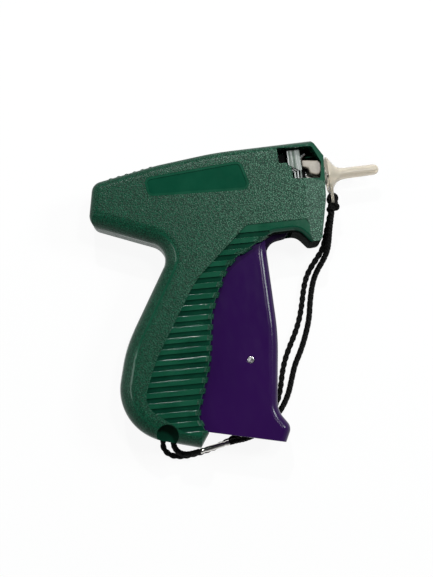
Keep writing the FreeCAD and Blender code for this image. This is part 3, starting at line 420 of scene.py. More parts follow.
def clear_plastic(name, dark, light, roughness, clearness, scale, stretch=(1, 1, 1)):
    """See-through plastic with lighter streaks in its colour; clearness is how much light goes
    through.
    """
    made, shader, add, link = material(name)
    streaks = noise(add, link, object_space(add, link, stretch), scale, detail=4)
    coloured(add, link, streaks, shader, dark, light)
    bumped(add, link, streaks, shader, distance=0.00004, strength=0.3)
    roughened(add, link, streaks, shader, *(roughness + change for change in CLEAR_SPREAD))
    shader.inputs["Transmission Weight"].default_value = clearness
    shader.inputs["IOR"].default_value = CLEAR_IOR
    return made


def metal(name, dark, light, roughness, scale, stretch=(1, 1, 1)):
    """Bare metal with fine drawn or ground lines."""
    made, shader, add, link = material(name)
    lines = noise(add, link, object_space(add, link, stretch), scale, detail=5)
    coloured(add, link, lines, shader, dark, light)
    bumped(add, link, lines, shader, distance=0.00002, strength=0.4)
    roughened(add, link, lines, shader, *(roughness + change for change in METAL_SPREAD))
    shader.inputs["Metallic"].default_value = 1.0
    return made


YARN_SLANT = 45
YARN_WAVE = 0.45


def braided_black():
    """Woven cord: two sets of yarns cross on the piece's own UV map."""
    made, shader, add, link = material("cord_braid")
    coordinates = add("ShaderNodeTexCoord")
    yarns = []
    for slant in (1, -1):
        mapping = add("ShaderNodeMapping")
        mapping.inputs["Rotation"].default_value = (0, 0, math.radians(YARN_SLANT * slant))
        wave = add("ShaderNodeTexWave")
        wave.inputs["Scale"].default_value = YARN_WAVE
        link(coordinates.outputs["UV"], mapping.inputs["Vector"])
        link(mapping.outputs["Vector"], wave.inputs["Vector"])
        yarns.append(wave.outputs["Fac"])
    top = add("ShaderNodeMath", operation="MAXIMUM")
    link(yarns[0], top.inputs[0])
    link(yarns[1], top.inputs[1])
    coloured(add, link, top.outputs["Value"], shader, srgb(1, 1, 1), srgb(8, 8, 8),
             start=0.3, end=1.0)
    weave = bumped(add, link, top.outputs["Value"], shader, distance=0.0004, strength=0.8)
    fuzz = noise(add, link, object_space(add, link), scale=4000)
    bumped(add, link, fuzz, shader, distance=0.00008, strength=0.4, below=weave)
    roughened(add, link, fuzz, shader, low=0.6, high=0.8)
    shader.inputs["Specular IOR Level"].default_value = 0.12
    return made


GREEN = grained_green_painted_glints()
POLISHED = smooth_green("green_polished", srgb(6, 57, 40), srgb(11, 63, 45), 0.08, 0.12)
# A darker green for the rib grooves' floors and the label recess's walls: painted shade in the
# recesses.
GROOVE_SHADE_GREEN = smooth_green("green_groove_painted_shade", srgb(2, 42, 29), srgb(6, 51, 36), 0.1, 0.14)
SATIN = smooth_green("green_satin", srgb(10, 60, 42), srgb(20, 70, 51), 0.11, 0.16)
# A near-black green for the deep faces inside the arch: painted shade.
ARCH_SHADE_GREEN = plain_plastic("green_arch_painted_shade", srgb(3, 10, 7), srgb(5, 14, 10), roughness=0.8, shine=0.02)
FRAME_GREEN = plain_plastic("green_frame", srgb(10, 60, 42), srgb(17, 68, 49), roughness=0.5,
                            shine=0.08)
PURPLE = glossy_purple()
# A dark, dull purple for the trigger's upper end inside the arch: painted shade.
PURPLE_SHADE = plain_plastic("purple_painted_shade", srgb(17, 7, 28), srgb(23, 9, 36), roughness=0.8,
                            shine=0.03)
DARK_PLASTIC = plain_plastic("inner_dark", srgb(8, 10, 9), srgb(13, 15, 14), roughness=0.6,
                             shine=0.05)
GREY_LEVER = plain_plastic("lever_grey", srgb(134, 127, 116), srgb(158, 150, 139),
                           roughness=0.34)
WHITE_PLASTIC = plain_plastic("feed_white", srgb(196, 193, 184), srgb(214, 211, 203),
                              roughness=0.4)
MILKY = clear_plastic("cap_milky", srgb(218, 208, 192), srgb(238, 229, 214), roughness=0.16,
                      clearness=0.62, scale=70, stretch=(0.2, 1, 1))
# The fasteners' white streaks along Y are painted highlights.
CLEAR = clear_plastic("fastener_clear", srgb(104, 118, 108), srgb(255, 255, 255),
                      roughness=0.12, clearness=0.34, scale=900, stretch=(1, 0.03, 1))
STEEL = metal("steel_bright", srgb(178, 178, 180), srgb(214, 214, 216), roughness=0.24,
              scale=900, stretch=(1, 1, 8))
SPRING_STEEL = metal("spring_steel", srgb(120, 121, 124), srgb(150, 151, 154), roughness=0.3,
                     scale=1200)
ZINC = metal("zinc_plate", srgb(150, 152, 156), srgb(188, 189, 190), roughness=0.38,
             scale=260)
CHROME = metal("ferrule_chrome", srgb(206, 203, 198), srgb(228, 226, 222), roughness=0.12,
               scale=700)
BRAID = braided_black()


# ---------------------------------------------------------------- camera and lanyard route
def camera():
    """The view: above the gun, turned and tilted a little, upright on the picture."""
    data = bpy.data.cameras.new("view")
    data.sensor_fit = "VERTICAL"
    data.sensor_height = VIEW_SENSOR
    data.lens = VIEW_LENS
    data.clip_start = VIEW_NEAR
    right = Vector((math.cos(VIEW_TURN), -math.sin(VIEW_TURN), 0))
    upward = Vector((math.sin(VIEW_TURN), math.cos(VIEW_TURN), 0))
    back = Vector((0, 0, 1)) * math.cos(VIEW_TILT) - upward * math.sin(VIEW_TILT)
    top = upward * math.cos(VIEW_TILT) + Vector((0, 0, 1)) * math.sin(VIEW_TILT)
    holder = bpy.data.objects.new("view", data)
    bpy.context.collection.objects.link(holder)
    turn = Matrix((right, top, back)).transposed().to_4x4()
    holder.matrix_world = Matrix.Translation((Vector(LOOK_AT) + back * VIEW_AWAY) * MM) @ turn
    bpy.context.scene.camera = holder


camera()

NEAR_STRAND = [
    (20.4, -2.8, 14.1), (19.4, -6.8, 12.4), (18.5, -11.0, 9.8), (17.9, -15.0, 7.0),
    (16.9, -19.2, 4.4), (14.5, -23.2, 2.5), (11.5, -26.9, 1.6), (8.9, -31.2, 1.4),
    (7.1, -36.4, 1.4), (5.6, -42.2, 1.4), (4.2, -49.6, 1.4), (1.3, -57.4, 1.4),
    (-1.9, -64.2, 1.4), (-5.4, -70.0, 1.4), (-7.9, -76.8, 1.4), (-10.4, -83.6, 1.4),
    (-14.8, -90.3, 1.4), (-21.6, -96.2, 1.4), (-28.0, -99.8, 1.8), (-33.4, -101.0, 3.4),
    (-37.6, -101.17, 4.3), (-40.2, -101.6, 4.3),
]
FAR_STRAND = [
    (-54.2, -103.9, 4.3), (-57.0, -104.36, 4.3), (-61.0, -104.6, 4.3), (-64.6, -102.9, 4.3),
    (-66.3, -98.9, 4.3), (-64.1, -93.4, 4.2), (-69.1, -91.8, 2.9), (-70.8, -97.4, 2.2),
    (-70.8, -101.0, 1.5), (-67.8, -104.2, 1.4), (-62.6, -105.3, 1.4), (-55.5, -104.7, 1.4),
    (-48.0, -103.2, 1.4), (-41.4, -101.2, 1.4), (-34.6, -98.2, 1.4), (-27.6, -95.1, 1.4),
    (-21.3, -91.3, 1.4), (-16.2, -87.0, 1.4), (-13.6, -80.6, 1.4), (-11.8, -73.2, 1.4),
    (-9.6, -67.0, 1.4), (-6.6, -61.2, 1.4), (-3.2, -55.4, 1.4), (-0.2, -48.8, 1.4),
    (1.8, -42.2, 1.4), (3.3, -36.2, 1.4), (5.2, -30.6, 1.4), (8.1, -26.0, 1.4),
    (11.6, -22.0, 1.5), (14.9, -18.1, 2.2), (16.6, -13.6, 3.8), (17.9, -9.4, 6.4),
    (19.1, -5.8, 9.0), (20.2, -2.6, 11.0),
]
CORD_STEPS = 14
BRAID_SIDES = 16
BRAID_PITCH = 3.2
BRAID_HOLLOW = 0.17
YARN_PITCH = BRAID_PITCH / 2
YARNS_ROUND = 4


def route_points(name, route):
    """Points along the smooth line of a route."""
    holder, spline = routed_curve(name, route, "NURBS")
    spline.resolution_u = CORD_STEPS
    bpy.context.view_layer.update()
    line = bpy.data.meshes.new_from_object(holder)
    points = [vertex.co.copy() for vertex in line.vertices]
    bpy.data.objects.remove(holder)
    return points


def braided_tube(name, points):
    """A lobed tube along the points: its skin dips between two crossing sets of yarns."""
    work = bmesh.new()
    layer = work.loops.layers.uv.new("braid")
    rings, marks, along = [], [], 0.0
    side = Vector((0, 0, 1))
    for index, point in enumerate(points):
        before = points[max(index - 1, 0)]
        after = points[min(index + 1, len(points) - 1)]
        forward = (after - before).normalized()
        side = (side - forward * side.dot(forward)).normalized()
        up = forward.cross(side)
        along += (point - before).length
        marks.append(along)
        ring = []
        for k in range(BRAID_SIDES):
            around = 2 * math.pi * k / BRAID_SIDES
            phase = 2 * math.pi * along / (BRAID_PITCH * MM)
            crest = max(math.sin(2 * around + phase), math.sin(2 * around - phase))
            radius = (CORD_ROUND - BRAID_HOLLOW * (1 - crest)) * MM
            ring.append(work.verts.new(point + radius * (side * math.cos(around) +
                                                         up * math.sin(around))))
        rings.append(ring)
    for index in range(len(rings) - 1):
        for k in range(BRAID_SIDES):
            after = (k + 1) % BRAID_SIDES
            face = work.faces.new((rings[index][k], rings[index][after],
                                   rings[index + 1][after], rings[index + 1][k]))
            turns = ((k, index), (k + 1, index), (k + 1, index + 1), (k, index + 1))
            for loop, (around, ring) in zip(face.loops, turns):
                loop[layer].uv = (around / BRAID_SIDES * YARNS_ROUND,
                                  marks[ring] / (YARN_PITCH * MM))
    work.faces.new(list(reversed(rings[0])))
    work.faces.new(rings[-1])
    work.normal_update()
    mesh = bpy.data.meshes.new(name)
    work.to_mesh(mesh)
    work.free()
    piece = bpy.data.objects.new(name, mesh)
    bpy.context.collection.objects.link(piece)
    piece.data.materials.append(BRAID)
    smooth(piece, degrees=60)
    return piece


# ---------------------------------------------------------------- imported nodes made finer
FLAT_WITHIN = 0.6
FINE_EDGE = 0.06


def merged_copy(node):
    """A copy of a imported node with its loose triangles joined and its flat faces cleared."""
    source = frame["nodes"][node]
    piece = bpy.data.objects.new(node + "_piece", source.data.copy())
    bpy.context.collection.objects.link(piece)
    piece.data.materials.clear()
    edit(piece, "VERT")
    bpy.ops.mesh.select_all(action="SELECT")
    bpy.ops.mesh.remove_doubles(threshold=SAME_POINT * MM)
    bpy.ops.mesh.dissolve_limited(angle_limit=math.radians(FLAT_WITHIN))
    bpy.ops.mesh.normals_make_consistent(inside=False)
    close_edit()
    return piece


def finish_piece(piece, node, finish):
    """Gives a piece its material, its node's place and body."""
    if finish.name not in piece.data.materials:
        piece.data.materials.append(finish)
    body = next(name for name, nodes in frame["record"]["behaviour"]["bodies"].items()
                if node in nodes)
    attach(piece, body)
    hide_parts(node)
    return piece


def soften(piece, width, degrees=38, segments=2):
    """Breaks the sharp edges, as on any moulded or turned piece."""
    apply_modifier(piece, "BEVEL", width=width * MM, segments=segments,
                   limit_method="ANGLE", angle_limit=math.radians(degrees),
                   use_clamp_overlap=True)
    smooth(piece)


def refine(node, finish, width=0.12, segments=2):
    """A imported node's finished piece: its own shape with softened edges and a material."""
    piece = merged_copy(node)
    soften(piece, width, segments=segments)
    return finish_piece(piece, node, finish)


# ---------------------------------------------------------------- covers
# How far a face's normal points up or down, or up the picture, in parts of its length.
LEVEL = 0.9
DEAD_LEVEL = 0.999
UPRIGHT = 0.3
RIB_UPRIGHT = 0.35
ARCH_LEAN = 0.3
RIB_TOP_LEVEL = 0.99
RIB_UPPER_WALL = 0.6

# Where the finishes of a cover change, seen from its outside face: spans along X and Y,
# and depths below that face.
ARCH_SPAN = (-12.0, 14.0)
ARCH_TOP = -6.5
ARCH_SHINE = 2.2
LABEL_AREA = ((-68.0, -12.0), (9.0, 25.0))
LABEL_DEPTHS = (0.02, 0.7)
LABEL_RING = 0.2
FRAME_FOOT = 10.8
FRAME_REAR = -1.6
FRAME_TOP = 27.0
FRAME_SINK = 0.05
PANE_FRONT = 15.0
RIBS_TOP = -4.0
RIB_DEPTHS = (0.3, 0.6)
GROOVE_DEPTHS = (1.2, 1.6)
RIB_WALL_DEPTHS = (0.05, 8.2)
RIB_WALL_AREA = 30
NOTCH_TOP = -85.0
NOTCH_DEPTHS = (7.5, 10.0)

# The nose's slanted facet: where its faces start, and the line that splits its frame off.
FACET_START = 9.0
FACET_SPLIT = (17.0, FRAME_FOOT)
FACET_SPLIT_NORMAL = (0.3, 1, 0)
FACET_ANGLES = (0.3, 0.4)

EDGE_BREAK = 0.28
EDGE_SEGMENTS = 3
RIB_EDGE_LENGTH = 4.0
COVER_EDGE = 0.3
# The cover's greens; the arch's near-black and the grooves' darker green are painted shade.
FINISH_OF = (GREEN, POLISHED, SATIN, ARCH_SHADE_GREEN, GROOVE_SHADE_GREEN, FRAME_GREEN)
GRAINED, SHINY, SATINY, ARCH_SHADE, GROOVE_SHADE, FRAMED = range(len(FINISH_OF))


def within(value, span):
    """Whether a value is inside a span."""
    return span[0] < value < span[1]


def plastic_finish(middle, normal, area, depth):
    """Which green a face of the cover has: its place in FINISH_OF; the arch's deep faces, the
    grooves' floors and the label's walls are painted shade.
    """
    x, y, _ = middle
    slope = abs(normal.z)
    level = slope > LEVEL
    # In the arch, faces deeper than ARCH_SHINE are painted in shade, and the rest are shiny.
    if within(x, ARCH_SPAN) and y < ARCH_TOP and not level and normal.y < ARCH_LEAN:
        return ARCH_SHADE if depth > ARCH_SHINE else SHINY
    if within(x, LABEL_AREA[0]) and within(y, LABEL_AREA[1]):
        if not within(depth, LABEL_DEPTHS) or within(slope, (UPRIGHT, DEAD_LEVEL)):
            return GRAINED
        # The label recess's walls take the grooves' painted shade, as a shadow line.
        if slope < UPRIGHT:
            return GROOVE_SHADE
        return SATINY if depth < LABEL_RING else SHINY
    if y > FRAME_FOOT and x > FRAME_REAR and (depth > FRAME_SINK or y > FRAME_TOP):
        if x > PANE_FRONT or not level:
            return FRAMED if level else SHINY
    if y < RIBS_TOP:
        if level and within(depth, RIB_DEPTHS):
            return SATINY
        # The grooves' floors take the painted shade.
        if level and within(depth, GROOVE_DEPTHS):
            return GROOVE_SHADE
        if slope < RIB_UPRIGHT and within(depth, RIB_WALL_DEPTHS) and area < RIB_WALL_AREA:
            return SATINY
    if level and within(depth, NOTCH_DEPTHS) and y < NOTCH_TOP:
        return SHINY
    return GRAINED


def cover(node, side):
    """One half of the housing; side is 1 where its outside faces up and -1 where down."""
    piece = merged_copy(node)
    outside = THICK if side > 0 else 0.0

    # The facet's frame is split from the grained part, and its edges stay sharp.
    work = edit(piece)
    pick_faces(work, piece,
               lambda middle, normal: normal.z * side > UPRIGHT and middle.x > FACET_START)
    bpy.ops.mesh.bisect(plane_co=(*(spot * MM for spot in FACET_SPLIT), 0),
                        plane_no=FACET_SPLIT_NORMAL)
    work = edit(piece, "EDGE")
    for line in work.edges:
        if len(line.link_faces) == 2 and within(line.calc_face_angle(), FACET_ANGLES):
            line.select = all(face.normal.z * side > LEVEL for face in line.link_faces)
    bmesh.update_edit_mesh(piece.data)
    bpy.ops.mesh.mark_sharp()

    # The ribs' long upper edges are rounded on their own, because the bevel that soften()
    # puts on the whole piece is held small by its narrowest faces.
    bpy.ops.mesh.select_all(action="DESELECT")
    work = bmesh.from_edit_mesh(piece.data)
    for line in work.edges:
        if (len(line.link_faces) != 2 or not line.is_convex or
                line.calc_length() < RIB_EDGE_LENGTH * MM):
            continue
        normals = [face.normal for face in line.link_faces]
        depths = [(outside - corner.co.z / MM) * side for corner in line.verts]
        line.select = (max(normal.z * side for normal in normals) > RIB_TOP_LEVEL and
                       max(normal.y for normal in normals) > RIB_UPPER_WALL and
                       all(within(depth, RIB_DEPTHS) for depth in depths))
    bmesh.update_edit_mesh(piece.data)
    bpy.ops.mesh.bevel(offset=EDGE_BREAK * MM, segments=EDGE_SEGMENTS)
    close_edit()

    for finish in FINISH_OF:
        piece.data.materials.append(finish)
    for face in piece.data.polygons:
        middle = face.center / MM
        depth = (outside - middle.z) * side
        face.material_index = plastic_finish(middle, face.normal, face.area / MM ** 2, depth)
    soften(piece, COVER_EDGE)
    return finish_piece(piece, node, GREEN)


cover("right_cover", 1)
cover("left_cover", -1)


# ---------------------------------------------------------------- trigger and works
HIDDEN_END = (-12.5, -17.0)


def trigger():
    """The trigger, with its upper end, hidden in the arch, in a dark dull purple that paints
    the shade there.
    """
    piece = merged_copy("trigger")
    for finish in (PURPLE, PURPLE_SHADE):
        piece.data.materials.append(finish)
    for face in piece.data.polygons:
        middle = face.center / MM
        # The upper end's faces get the painted-shade purple.
        if middle.x > HIDDEN_END[0] and middle.y > HIDDEN_END[1] and face.normal.z < LEVEL:
            face.material_index = 1
    soften(piece, COVER_EDGE)
    return finish_piece(piece, "trigger", PURPLE)


trigger()
refine("trigger_link_pin", STEEL, width=0.4, segments=3)
for name in ("trigger_pivot_pin", "lever_pivot_pin", "slider_pin", "push_rod", "feed_shaft",
             "feed_pawl", "knife", "lanyard_post"):
    refine(name, STEEL, FINE_EDGE)

PIN_SLIMMER = 0.86


def lock_pin():
    """The lock lever's pin, a little slimmer than its bore so that the lever turns free."""
    piece = merged_copy("lock_pivot_pin")
    low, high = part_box("lock_pivot_pin")
    edit(piece)
    bpy.ops.mesh.select_all(action="SELECT")
    bpy.ops.transform.resize(value=(PIN_SLIMMER, PIN_SLIMMER, 1),
                             center_override=(low + high) / 2)
    close_edit()
    soften(piece, FINE_EDGE)
    return finish_piece(piece, "lock_pivot_pin", STEEL)


lock_pin()
refine("needle_tube", STEEL, width=0.04)
for name in ("return_spring", "detent_spring"):
    refine(name, SPRING_STEEL, width=0.03)
for name in ("drive_lever", "lever_bracket"):
    refine(name, ZINC, width=0.15)
for name in ("slider", "magazine_block"):
    refine(name, DARK_PLASTIC)
for name in ("feed_wheel", "ratchet_wheel", "needle_hub"):
    refine(name, WHITE_PLASTIC, FINE_EDGE)
refine("needle_lock_lever", GREY_LEVER, width=0.75, segments=4)


# ---------------------------------------------------------------- screws with cross recesses
RECESS_WIDE = 0.75
RECESS_LONG = 2.9
RECESS_DEEP = 1.3
HEAD_SLICE = 0.01
HEAD_APART = 8


def screws():
    """The five screws, each head cut with a cross."""
    piece = merged_copy("cover_screws")
    head_low = min(vertex.co.z for vertex in piece.data.vertices) / MM
    heads = [vertex.co / MM for vertex in piece.data.vertices
             if vertex.co.z / MM < head_low + HEAD_SLICE]
    groups = []
    for spot in heads:
        near = next((group for group in groups
                     if (Vector(group[0].xy) - Vector(spot.xy)).length < HEAD_APART), None)
        if near is None:
            groups.append([spot])
        else:
            near.append(spot)
    cutters = []
    for group in groups:
        x = (min(spot.x for spot in group) + max(spot.x for spot in group)) / 2
        y = (min(spot.y for spot in group) + max(spot.y for spot in group)) / 2
        for wide, long in ((RECESS_WIDE, RECESS_LONG), (RECESS_LONG, RECESS_WIDE)):
            cutters.append(block("recess", (x - wide / 2, y - long / 2, head_low - 1),
                                 (x + wide / 2, y + long / 2, head_low + RECESS_DEEP)))
    for cutter in cutters:
        apply_modifier(piece, "BOOLEAN", object=cutter, operation="DIFFERENCE")
        bpy.data.objects.remove(cutter)
    soften(piece, FINE_EDGE)
    return finish_piece(piece, "cover_screws", STEEL)


screws()


# ---------------------------------------------------------------- tag fasteners
FASTENERS = 3
FEED_PITCH = 1.7
BAR_START = 1.0
BAR_LENGTH = 8.4
BAR_ROUND = 0.45
FILAMENT_ROUND = 0.4
SILL_Y = 13.9
SILL_Z = 17.6
SILL_TOP_Z = 18.7
FILAMENT_TURN = 17.2
FILAMENT_DROP = 0.9
HANG_X = 5.6
HANG_STEP = 1.35
PADDLE_LEFT = 2.95
PADDLE_RIGHT = 8.85
PADDLE_TOP = 27.4
PADDLE_SHOULDER = 20.3
PADDLE_NECK = 17.2
PADDLE_Z = 18.2
PADDLE_STEP = 0.8
PADDLE_THICK = 0.5
PADDLE_LEAN = 0.12
PADDLE_LOWER = 0.25
PADDLE_NARROWER = 0.1
PADDLE_FOOT = 0.22
PADDLE_EDGE = 0.12


def paddle(index, hang):
    """One flat handle of a fastener: its foot is drawn in to the filament."""
    level = PADDLE_Z + index * PADDLE_STEP
    lean = (index - 1) * PADDLE_LEAN
    piece = block("paddle", (PADDLE_LEFT + lean, PADDLE_SHOULDER, level),
                  (PADDLE_RIGHT + lean - PADDLE_NARROWER, PADDLE_TOP - index * PADDLE_LOWER,
                   level + PADDLE_THICK))
    middle = (PADDLE_LEFT + PADDLE_RIGHT) / 2 + lean
    work = edit(piece)
    pick_faces(work, piece, lambda middle, normal: normal.y < -LEVEL)
    drop = Vector((hang - middle, PADDLE_NECK - PADDLE_SHOULDER, 0)) * MM
    bpy.ops.mesh.extrude_region_move(TRANSFORM_OT_translate={"value": drop})
    foot = Vector((hang, PADDLE_NECK, level + PADDLE_THICK / 2)) * MM
    bpy.ops.transform.resize(value=(PADDLE_FOOT, 1, 1), center_override=foot)
    close_edit()
    soften(piece, PADDLE_EDGE, degrees=25)
    return piece


def tag_fasteners():
    """Fasteners of a clip: bar in the slot, filament over the sill, paddle in the window."""
    parts = []
    for index in range(FASTENERS):
        bar_y = AXIS_Y + (index + 2) * FEED_PITCH
        hang = HANG_X + index * HANG_STEP
        level = PADDLE_Z + index * PADDLE_STEP + PADDLE_THICK / 2
        parts.append(wire("bar", [(BAR_START, bar_y, MIDDLE),
                                  (BAR_START + BAR_LENGTH, bar_y, MIDDLE)], BAR_ROUND))
        stem = BAR_START + BAR_LENGTH / 2
        parts.append(wire("filament", [
            (stem, bar_y, MIDDLE), (stem, bar_y, FILAMENT_TURN),
            (hang, bar_y - FILAMENT_DROP, SILL_Z), (hang, SILL_Y, SILL_Z),
            (hang, SILL_Y, SILL_TOP_Z), (hang, PADDLE_NECK + FILAMENT_ROUND, level)],
            FILAMENT_ROUND))
        parts.append(paddle(index, hang))
    piece = joined("tag_fasteners_piece", parts)
    smooth(piece)
    return finish_piece(piece, "tag_fasteners", CLEAR)


tag_fasteners()


# ---------------------------------------------------------------- small pieces in the window
SPRING_ROUTE = ((9.7, 21.2, 16.2), (9.0, 22.6, 18.0), (9.4, 23.7, 19.2), (11.2, 24.6, 19.6))
SPRING_ROUND = 0.55
WEB_CORNERS = ((11.4, 23.15, 2.3), (17.2, 23.75, 16.8))
WEB_EDGE = 0.15


def lock_spring():
    """A bright spring wire that holds the lever down, hooked over the magazine's edge."""
    spring_wire = wire("lock_spring_wire", SPRING_ROUTE, SPRING_ROUND, "NURBS")
    smooth(spring_wire)
    spring_wire.data.materials.append(STEEL)
    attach(spring_wire, "frame")


def window_web():
    """A web of the far cover that stands behind the lever."""
    web = block("window_web_piece", *WEB_CORNERS)
    soften(web, WEB_EDGE)
    web.data.materials.append(POLISHED)
    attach(web, "frame")


lock_spring()
window_web()


# ---------------------------------------------------------------- needle cap
CAP_TUBE = 2.6
CAP_BORE = 1.45
TAB_TOP = 9.2
TAB_START = 7.6
TAB_LEFT = 20.9
TAB_THICK = 1.4
TAB_HALF = 5.4
TAB_STEPS = ((6.2, 0.86), (4.6, 0.84), (3.2, 0.84), (2.1, 0.76), (TAB_LOW + 0.02, 0.6))
TAB_THINNING = 0.99
TAB_EDGE = 0.3
EYE_X = 21.9
EYE_Y = 4.45
EYE_ROUND = 1.75
EYE_REACH = 8
ROUND_SIDES = 32


def guard_profile():
    """The guard's (x, radius) stations: flange, neck, tube, tip, and back through the bore."""
    rear, tip, tube, bore = CAP_REAR, CAP_TIP, CAP_TUBE, CAP_BORE
    flange = [(rear + 0.3, FLANGE_ROUND - 1.2), (rear, FLANGE_ROUND - 0.35),
              (rear + 0.25, FLANGE_ROUND), (rear + 0.9, FLANGE_ROUND - 0.15)]
    neck = [(rear + 1.5, tube + 5.1), (rear + 2.3, tube + 4.0), (rear + 3.4, tube + 2.3),
            (rear + 4.6, tube + 1.0), (rear + 6.2, tube + 0.3), (rear + 8.5, tube)]
    end = [(tip - 6.0, tube - 0.08), (tip - 2.3, tube - 0.15), (tip - 1.2, tube - 0.5),
           (tip - 0.4, tube - 1.2), (tip, tube - 2.2), (tip, 0.12)]
    inside = [(tip - 0.9, 0.12), (tip - 1.0, bore - 0.3), (tip - 1.6, bore),
              (rear + 6.4, bore), (rear + 4.6, bore + 1.0), (rear + 2.9, tube + 2.0),
              (rear + 1.8, tube + 3.6)]
    return flange + neck + end + inside


def cap_tab():
    """The flat tab below the flange: it narrows in steps and has an eye for the cord."""
    tab = block("tab", (TAB_LEFT, TAB_START, MIDDLE - TAB_HALF),
                (TAB_LEFT + TAB_THICK, TAB_TOP, MIDDLE + TAB_HALF))
    work = edit(tab)
    pick_faces(work, tab, lambda middle, normal: normal.y < -LEVEL)
    reach = TAB_START
    for low, narrowing in TAB_STEPS:
        bpy.ops.mesh.extrude_region_move(
            TRANSFORM_OT_translate={"value": (0, (low - reach) * MM, 0)})
        middle = Vector((TAB_LEFT + TAB_THICK / 2, low, MIDDLE)) * MM
        bpy.ops.transform.resize(value=(TAB_THINNING, 1, narrowing), center_override=middle)
        reach = low
    close_edit()
    bpy.ops.object.select_all(action="DESELECT")
    bpy.ops.mesh.primitive_cylinder_add(
        vertices=ROUND_SIDES, radius=EYE_ROUND * MM, depth=EYE_REACH * MM,
        location=(EYE_X * MM, EYE_Y * MM, MIDDLE * MM), rotation=(0, math.pi / 2, 0))
    eye = bpy.context.object
    apply_modifier(tab, "BOOLEAN", object=eye, operation="DIFFERENCE")
    bpy.data.objects.remove(eye)
    soften(tab, TAB_EDGE, degrees=30, segments=3)
    return tab


def needle_cap():
    """A turned guard with a dished flange, and a flat tab with an eye below it."""
    guard = turned("guard", guard_profile())
    piece = joined("needle_cap_piece", [cap_tab(), guard])
    smooth(piece, degrees=40)
    return finish_piece(piece, "needle_cap", MILKY)


needle_cap()


# ---------------------------------------------------------------- lanyard's ferrule and knot
FERRULE_GAP = 0.05
CRIMP_DEEP = 0.22


def ferrule():
    """A metal tube crimped near both ends, a little short of the cords' cut ends."""
    start, end = (Vector(spot) for spot in FERRULE_ENDS)
    along = end - start
    long = along.length - 2 * FERRULE_GAP
    full = FERRULE_ROUND
    stations = [(0, full - 0.3), (0.15, full - 0.05), (0.6, full), (1.5, full),
                (1.9, full - CRIMP_DEEP), (2.5, full - CRIMP_DEEP), (2.9, full)]
    mirrored = [(long - x, radius) for x, radius in reversed(stations)]
    tube = turned("ferrule", [(0, 0)] + stations + mirrored + [(long, 0)], centre=(0, 0),
                  steps=ROUND_SIDES)
    place = Matrix.Translation((start + along.normalized() * FERRULE_GAP) * MM)
    tube.matrix_world = place @ along.to_track_quat("X", "Z").to_matrix().to_4x4()
    settle(tube)
    tube.name = "lanyard_ferrule_piece"
    smooth(tube, degrees=40)
    return finish_piece(tube, "lanyard_ferrule", CHROME)


ferrule()

# Loops of the knot: middle, ring radius, cord radius and turn about X, Y and Z in degrees.
KNOT_LOOPS = (
    ((21.85, 3.6, 12.9), 1.75, 0.95, (0, 8, 0)),
    ((21.7, 3.3, 11.2), 1.7, 0.95, (6, -10, 0)),
    ((21.6, 0.2, 12.3), 1.4, 1.15, (24, 12, 0)),
    ((22.6, -0.5, 12.9), 0.95, 1.0, (20, -24, 0)),
    ((20.6, -1.2, 12.5), 1.2, 1.2, (72, 0, 8)),
    ((22.0, 1.8, 11.0), 1.2, 1.1, (-30, 10, 0)),
)
KNOT_STEPS = (44, 16)


def knot():
    """The lanyard's knot: cord loops round the tab's foot, drawn tight on each other."""
    loops = []
    for middle, ring, thickness, turn in KNOT_LOOPS:
        bpy.ops.object.select_all(action="DESELECT")
        bpy.ops.mesh.primitive_torus_add(
            major_radius=ring * MM, minor_radius=thickness * MM,
            major_segments=KNOT_STEPS[0], minor_segments=KNOT_STEPS[1],
            location=Vector(middle) * MM, rotation=[math.radians(angle) for angle in turn])
        loop = bpy.context.object
        settle(loop)
        around = 2 * math.pi * ring / YARN_PITCH
        for corner in loop.data.uv_layers.active.data:
            corner.uv = (corner.uv.y * YARNS_ROUND, corner.uv.x * around)
        loops.append(loop)
    piece = joined("lanyard_hitch_piece", loops)
    smooth(piece, degrees=60)
    return finish_piece(piece, "lanyard_hitch", BRAID)


knot()


# ---------------------------------------------------------------- lanyard's strands
def strand(node, route):
    """One length of the lanyard: it lies beside the gun and reaches up to the cap at its top.
    """
    points = route_points(node + "_line", route)
    piece = braided_tube(node + "_piece", points)
    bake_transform(piece)
    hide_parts(node)


strand("lanyard_strand_near", NEAR_STRAND)
strand("lanyard_strand_far", FAR_STRAND)


# ---------------------------------------------------------------- table and light
TABLE_SIZE = 8
TABLE_SHADES = ((0.74, 0.74, 0.74, 1), (0.78, 0.78, 0.78, 1))
TABLE_GLOW = 0.92
# The room's strength goes from the first value to the second between two heights.
SKY_HEIGHTS = (0.4, 0.8)
SKY_STRENGTHS = (0.5, 0.04)
SKY_COLOUR = (0.96, 0.98, 1.0, 1)
# Lamps: name, place and sides in metres, watts, and colour.
LAMPS = (
    ("over_nose", (0.26, 0.19, 0.93), (0.12, 0.12), 3.4, (1, 1, 1)),
    ("ceiling_spot", (-0.045, 0.60, 0.78), (0.022, 0.022), 4.5, (1, 1, 1)),
    ("from_heel", (-0.65, 0.05, 0.45), (0.30, 0.45), 1.3, (1, 1, 1)),
    ("from_needle", (0.72, 0.14, 0.70), (0.24, 0.24), 5.4, (0.9, 1.0, 0.97)),
)


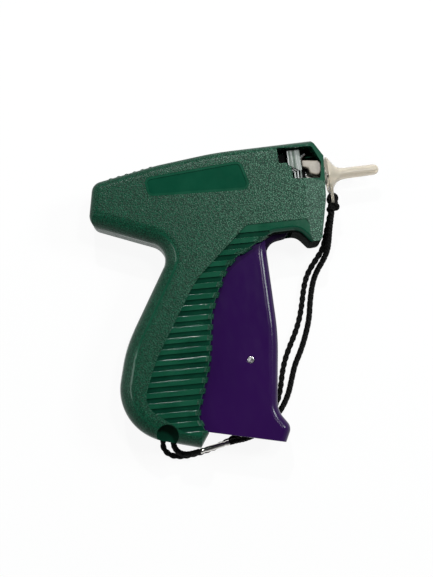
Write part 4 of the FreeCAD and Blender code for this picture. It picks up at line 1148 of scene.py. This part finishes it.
def table():
    """A pale top that shows white to the eye and in reflections, and keeps a soft shadow."""
    bpy.ops.object.select_all(action="DESELECT")
    bpy.ops.mesh.primitive_plane_add(size=TABLE_SIZE, location=(0, 0, 0))
    top = bpy.context.object
    top.name = "table_top"
    made, shader, add, link = material("table_pale")
    clouds = noise(add, link, object_space(add, link), scale=9, detail=2)
    coloured(add, link, clouds, shader, *TABLE_SHADES)
    shader.inputs["Roughness"].default_value = 0.9
    glow = add("ShaderNodeEmission")
    path = add("ShaderNodeLightPath")
    share = path.outputs["Is Camera Ray"]
    for ray in ("Is Glossy Ray", "Is Transmission Ray"):
        either = add("ShaderNodeMath", operation="MAXIMUM")
        link(share, either.inputs[0])
        link(path.outputs[ray], either.inputs[1])
        share = either.outputs["Value"]
    part = add("ShaderNodeMath", operation="MULTIPLY")
    part.inputs[1].default_value = TABLE_GLOW
    link(share, part.inputs[0])
    mix = add("ShaderNodeMixShader")
    link(part.outputs["Value"], mix.inputs["Fac"])
    link(shader.outputs["BSDF"], mix.inputs[1])
    link(glow.outputs["Emission"], mix.inputs[2])
    link(mix.outputs["Shader"], made.node_tree.nodes["Material Output"].inputs["Surface"])
    top.data.materials.append(made)


def soft_light(name, spot, size, power, colour):
    """A rectangular lamp that faces the middle of the gun."""
    lamp = bpy.data.lights.new(name, "AREA")
    lamp.shape = "RECTANGLE"
    lamp.size, lamp.size_y = size
    lamp.energy = power
    lamp.color = colour
    holder = bpy.data.objects.new(name, lamp)
    bpy.context.collection.objects.link(holder)
    holder.location = spot
    aim = Vector(LOOK_AT) * MM - Vector(spot)
    holder.rotation_euler = aim.to_track_quat("-Z", "Y").to_euler()


def surroundings():
    """A room that is pale low down and dark overhead, so that flat faces mirror little."""
    world = bpy.data.worlds.new("studio")
    bpy.context.scene.world = world
    world.use_nodes = True
    nodes, link = world.node_tree.nodes, world.node_tree.links.new
    background = nodes["Background"]
    coordinates = nodes.new("ShaderNodeTexCoord")
    split = nodes.new("ShaderNodeSeparateXYZ")
    height = nodes.new("ShaderNodeMapRange")
    set_span(height, *SKY_HEIGHTS, *SKY_STRENGTHS)
    link(coordinates.outputs["Generated"], split.inputs["Vector"])
    link(split.outputs["Z"], height.inputs["Value"])
    link(height.outputs["Result"], background.inputs["Strength"])
    background.inputs["Color"].default_value = SKY_COLOUR


table()
for lamp in LAMPS:
    soft_light(*lamp)
surroundings()
bpy.context.scene.view_settings.view_transform = "Standard"
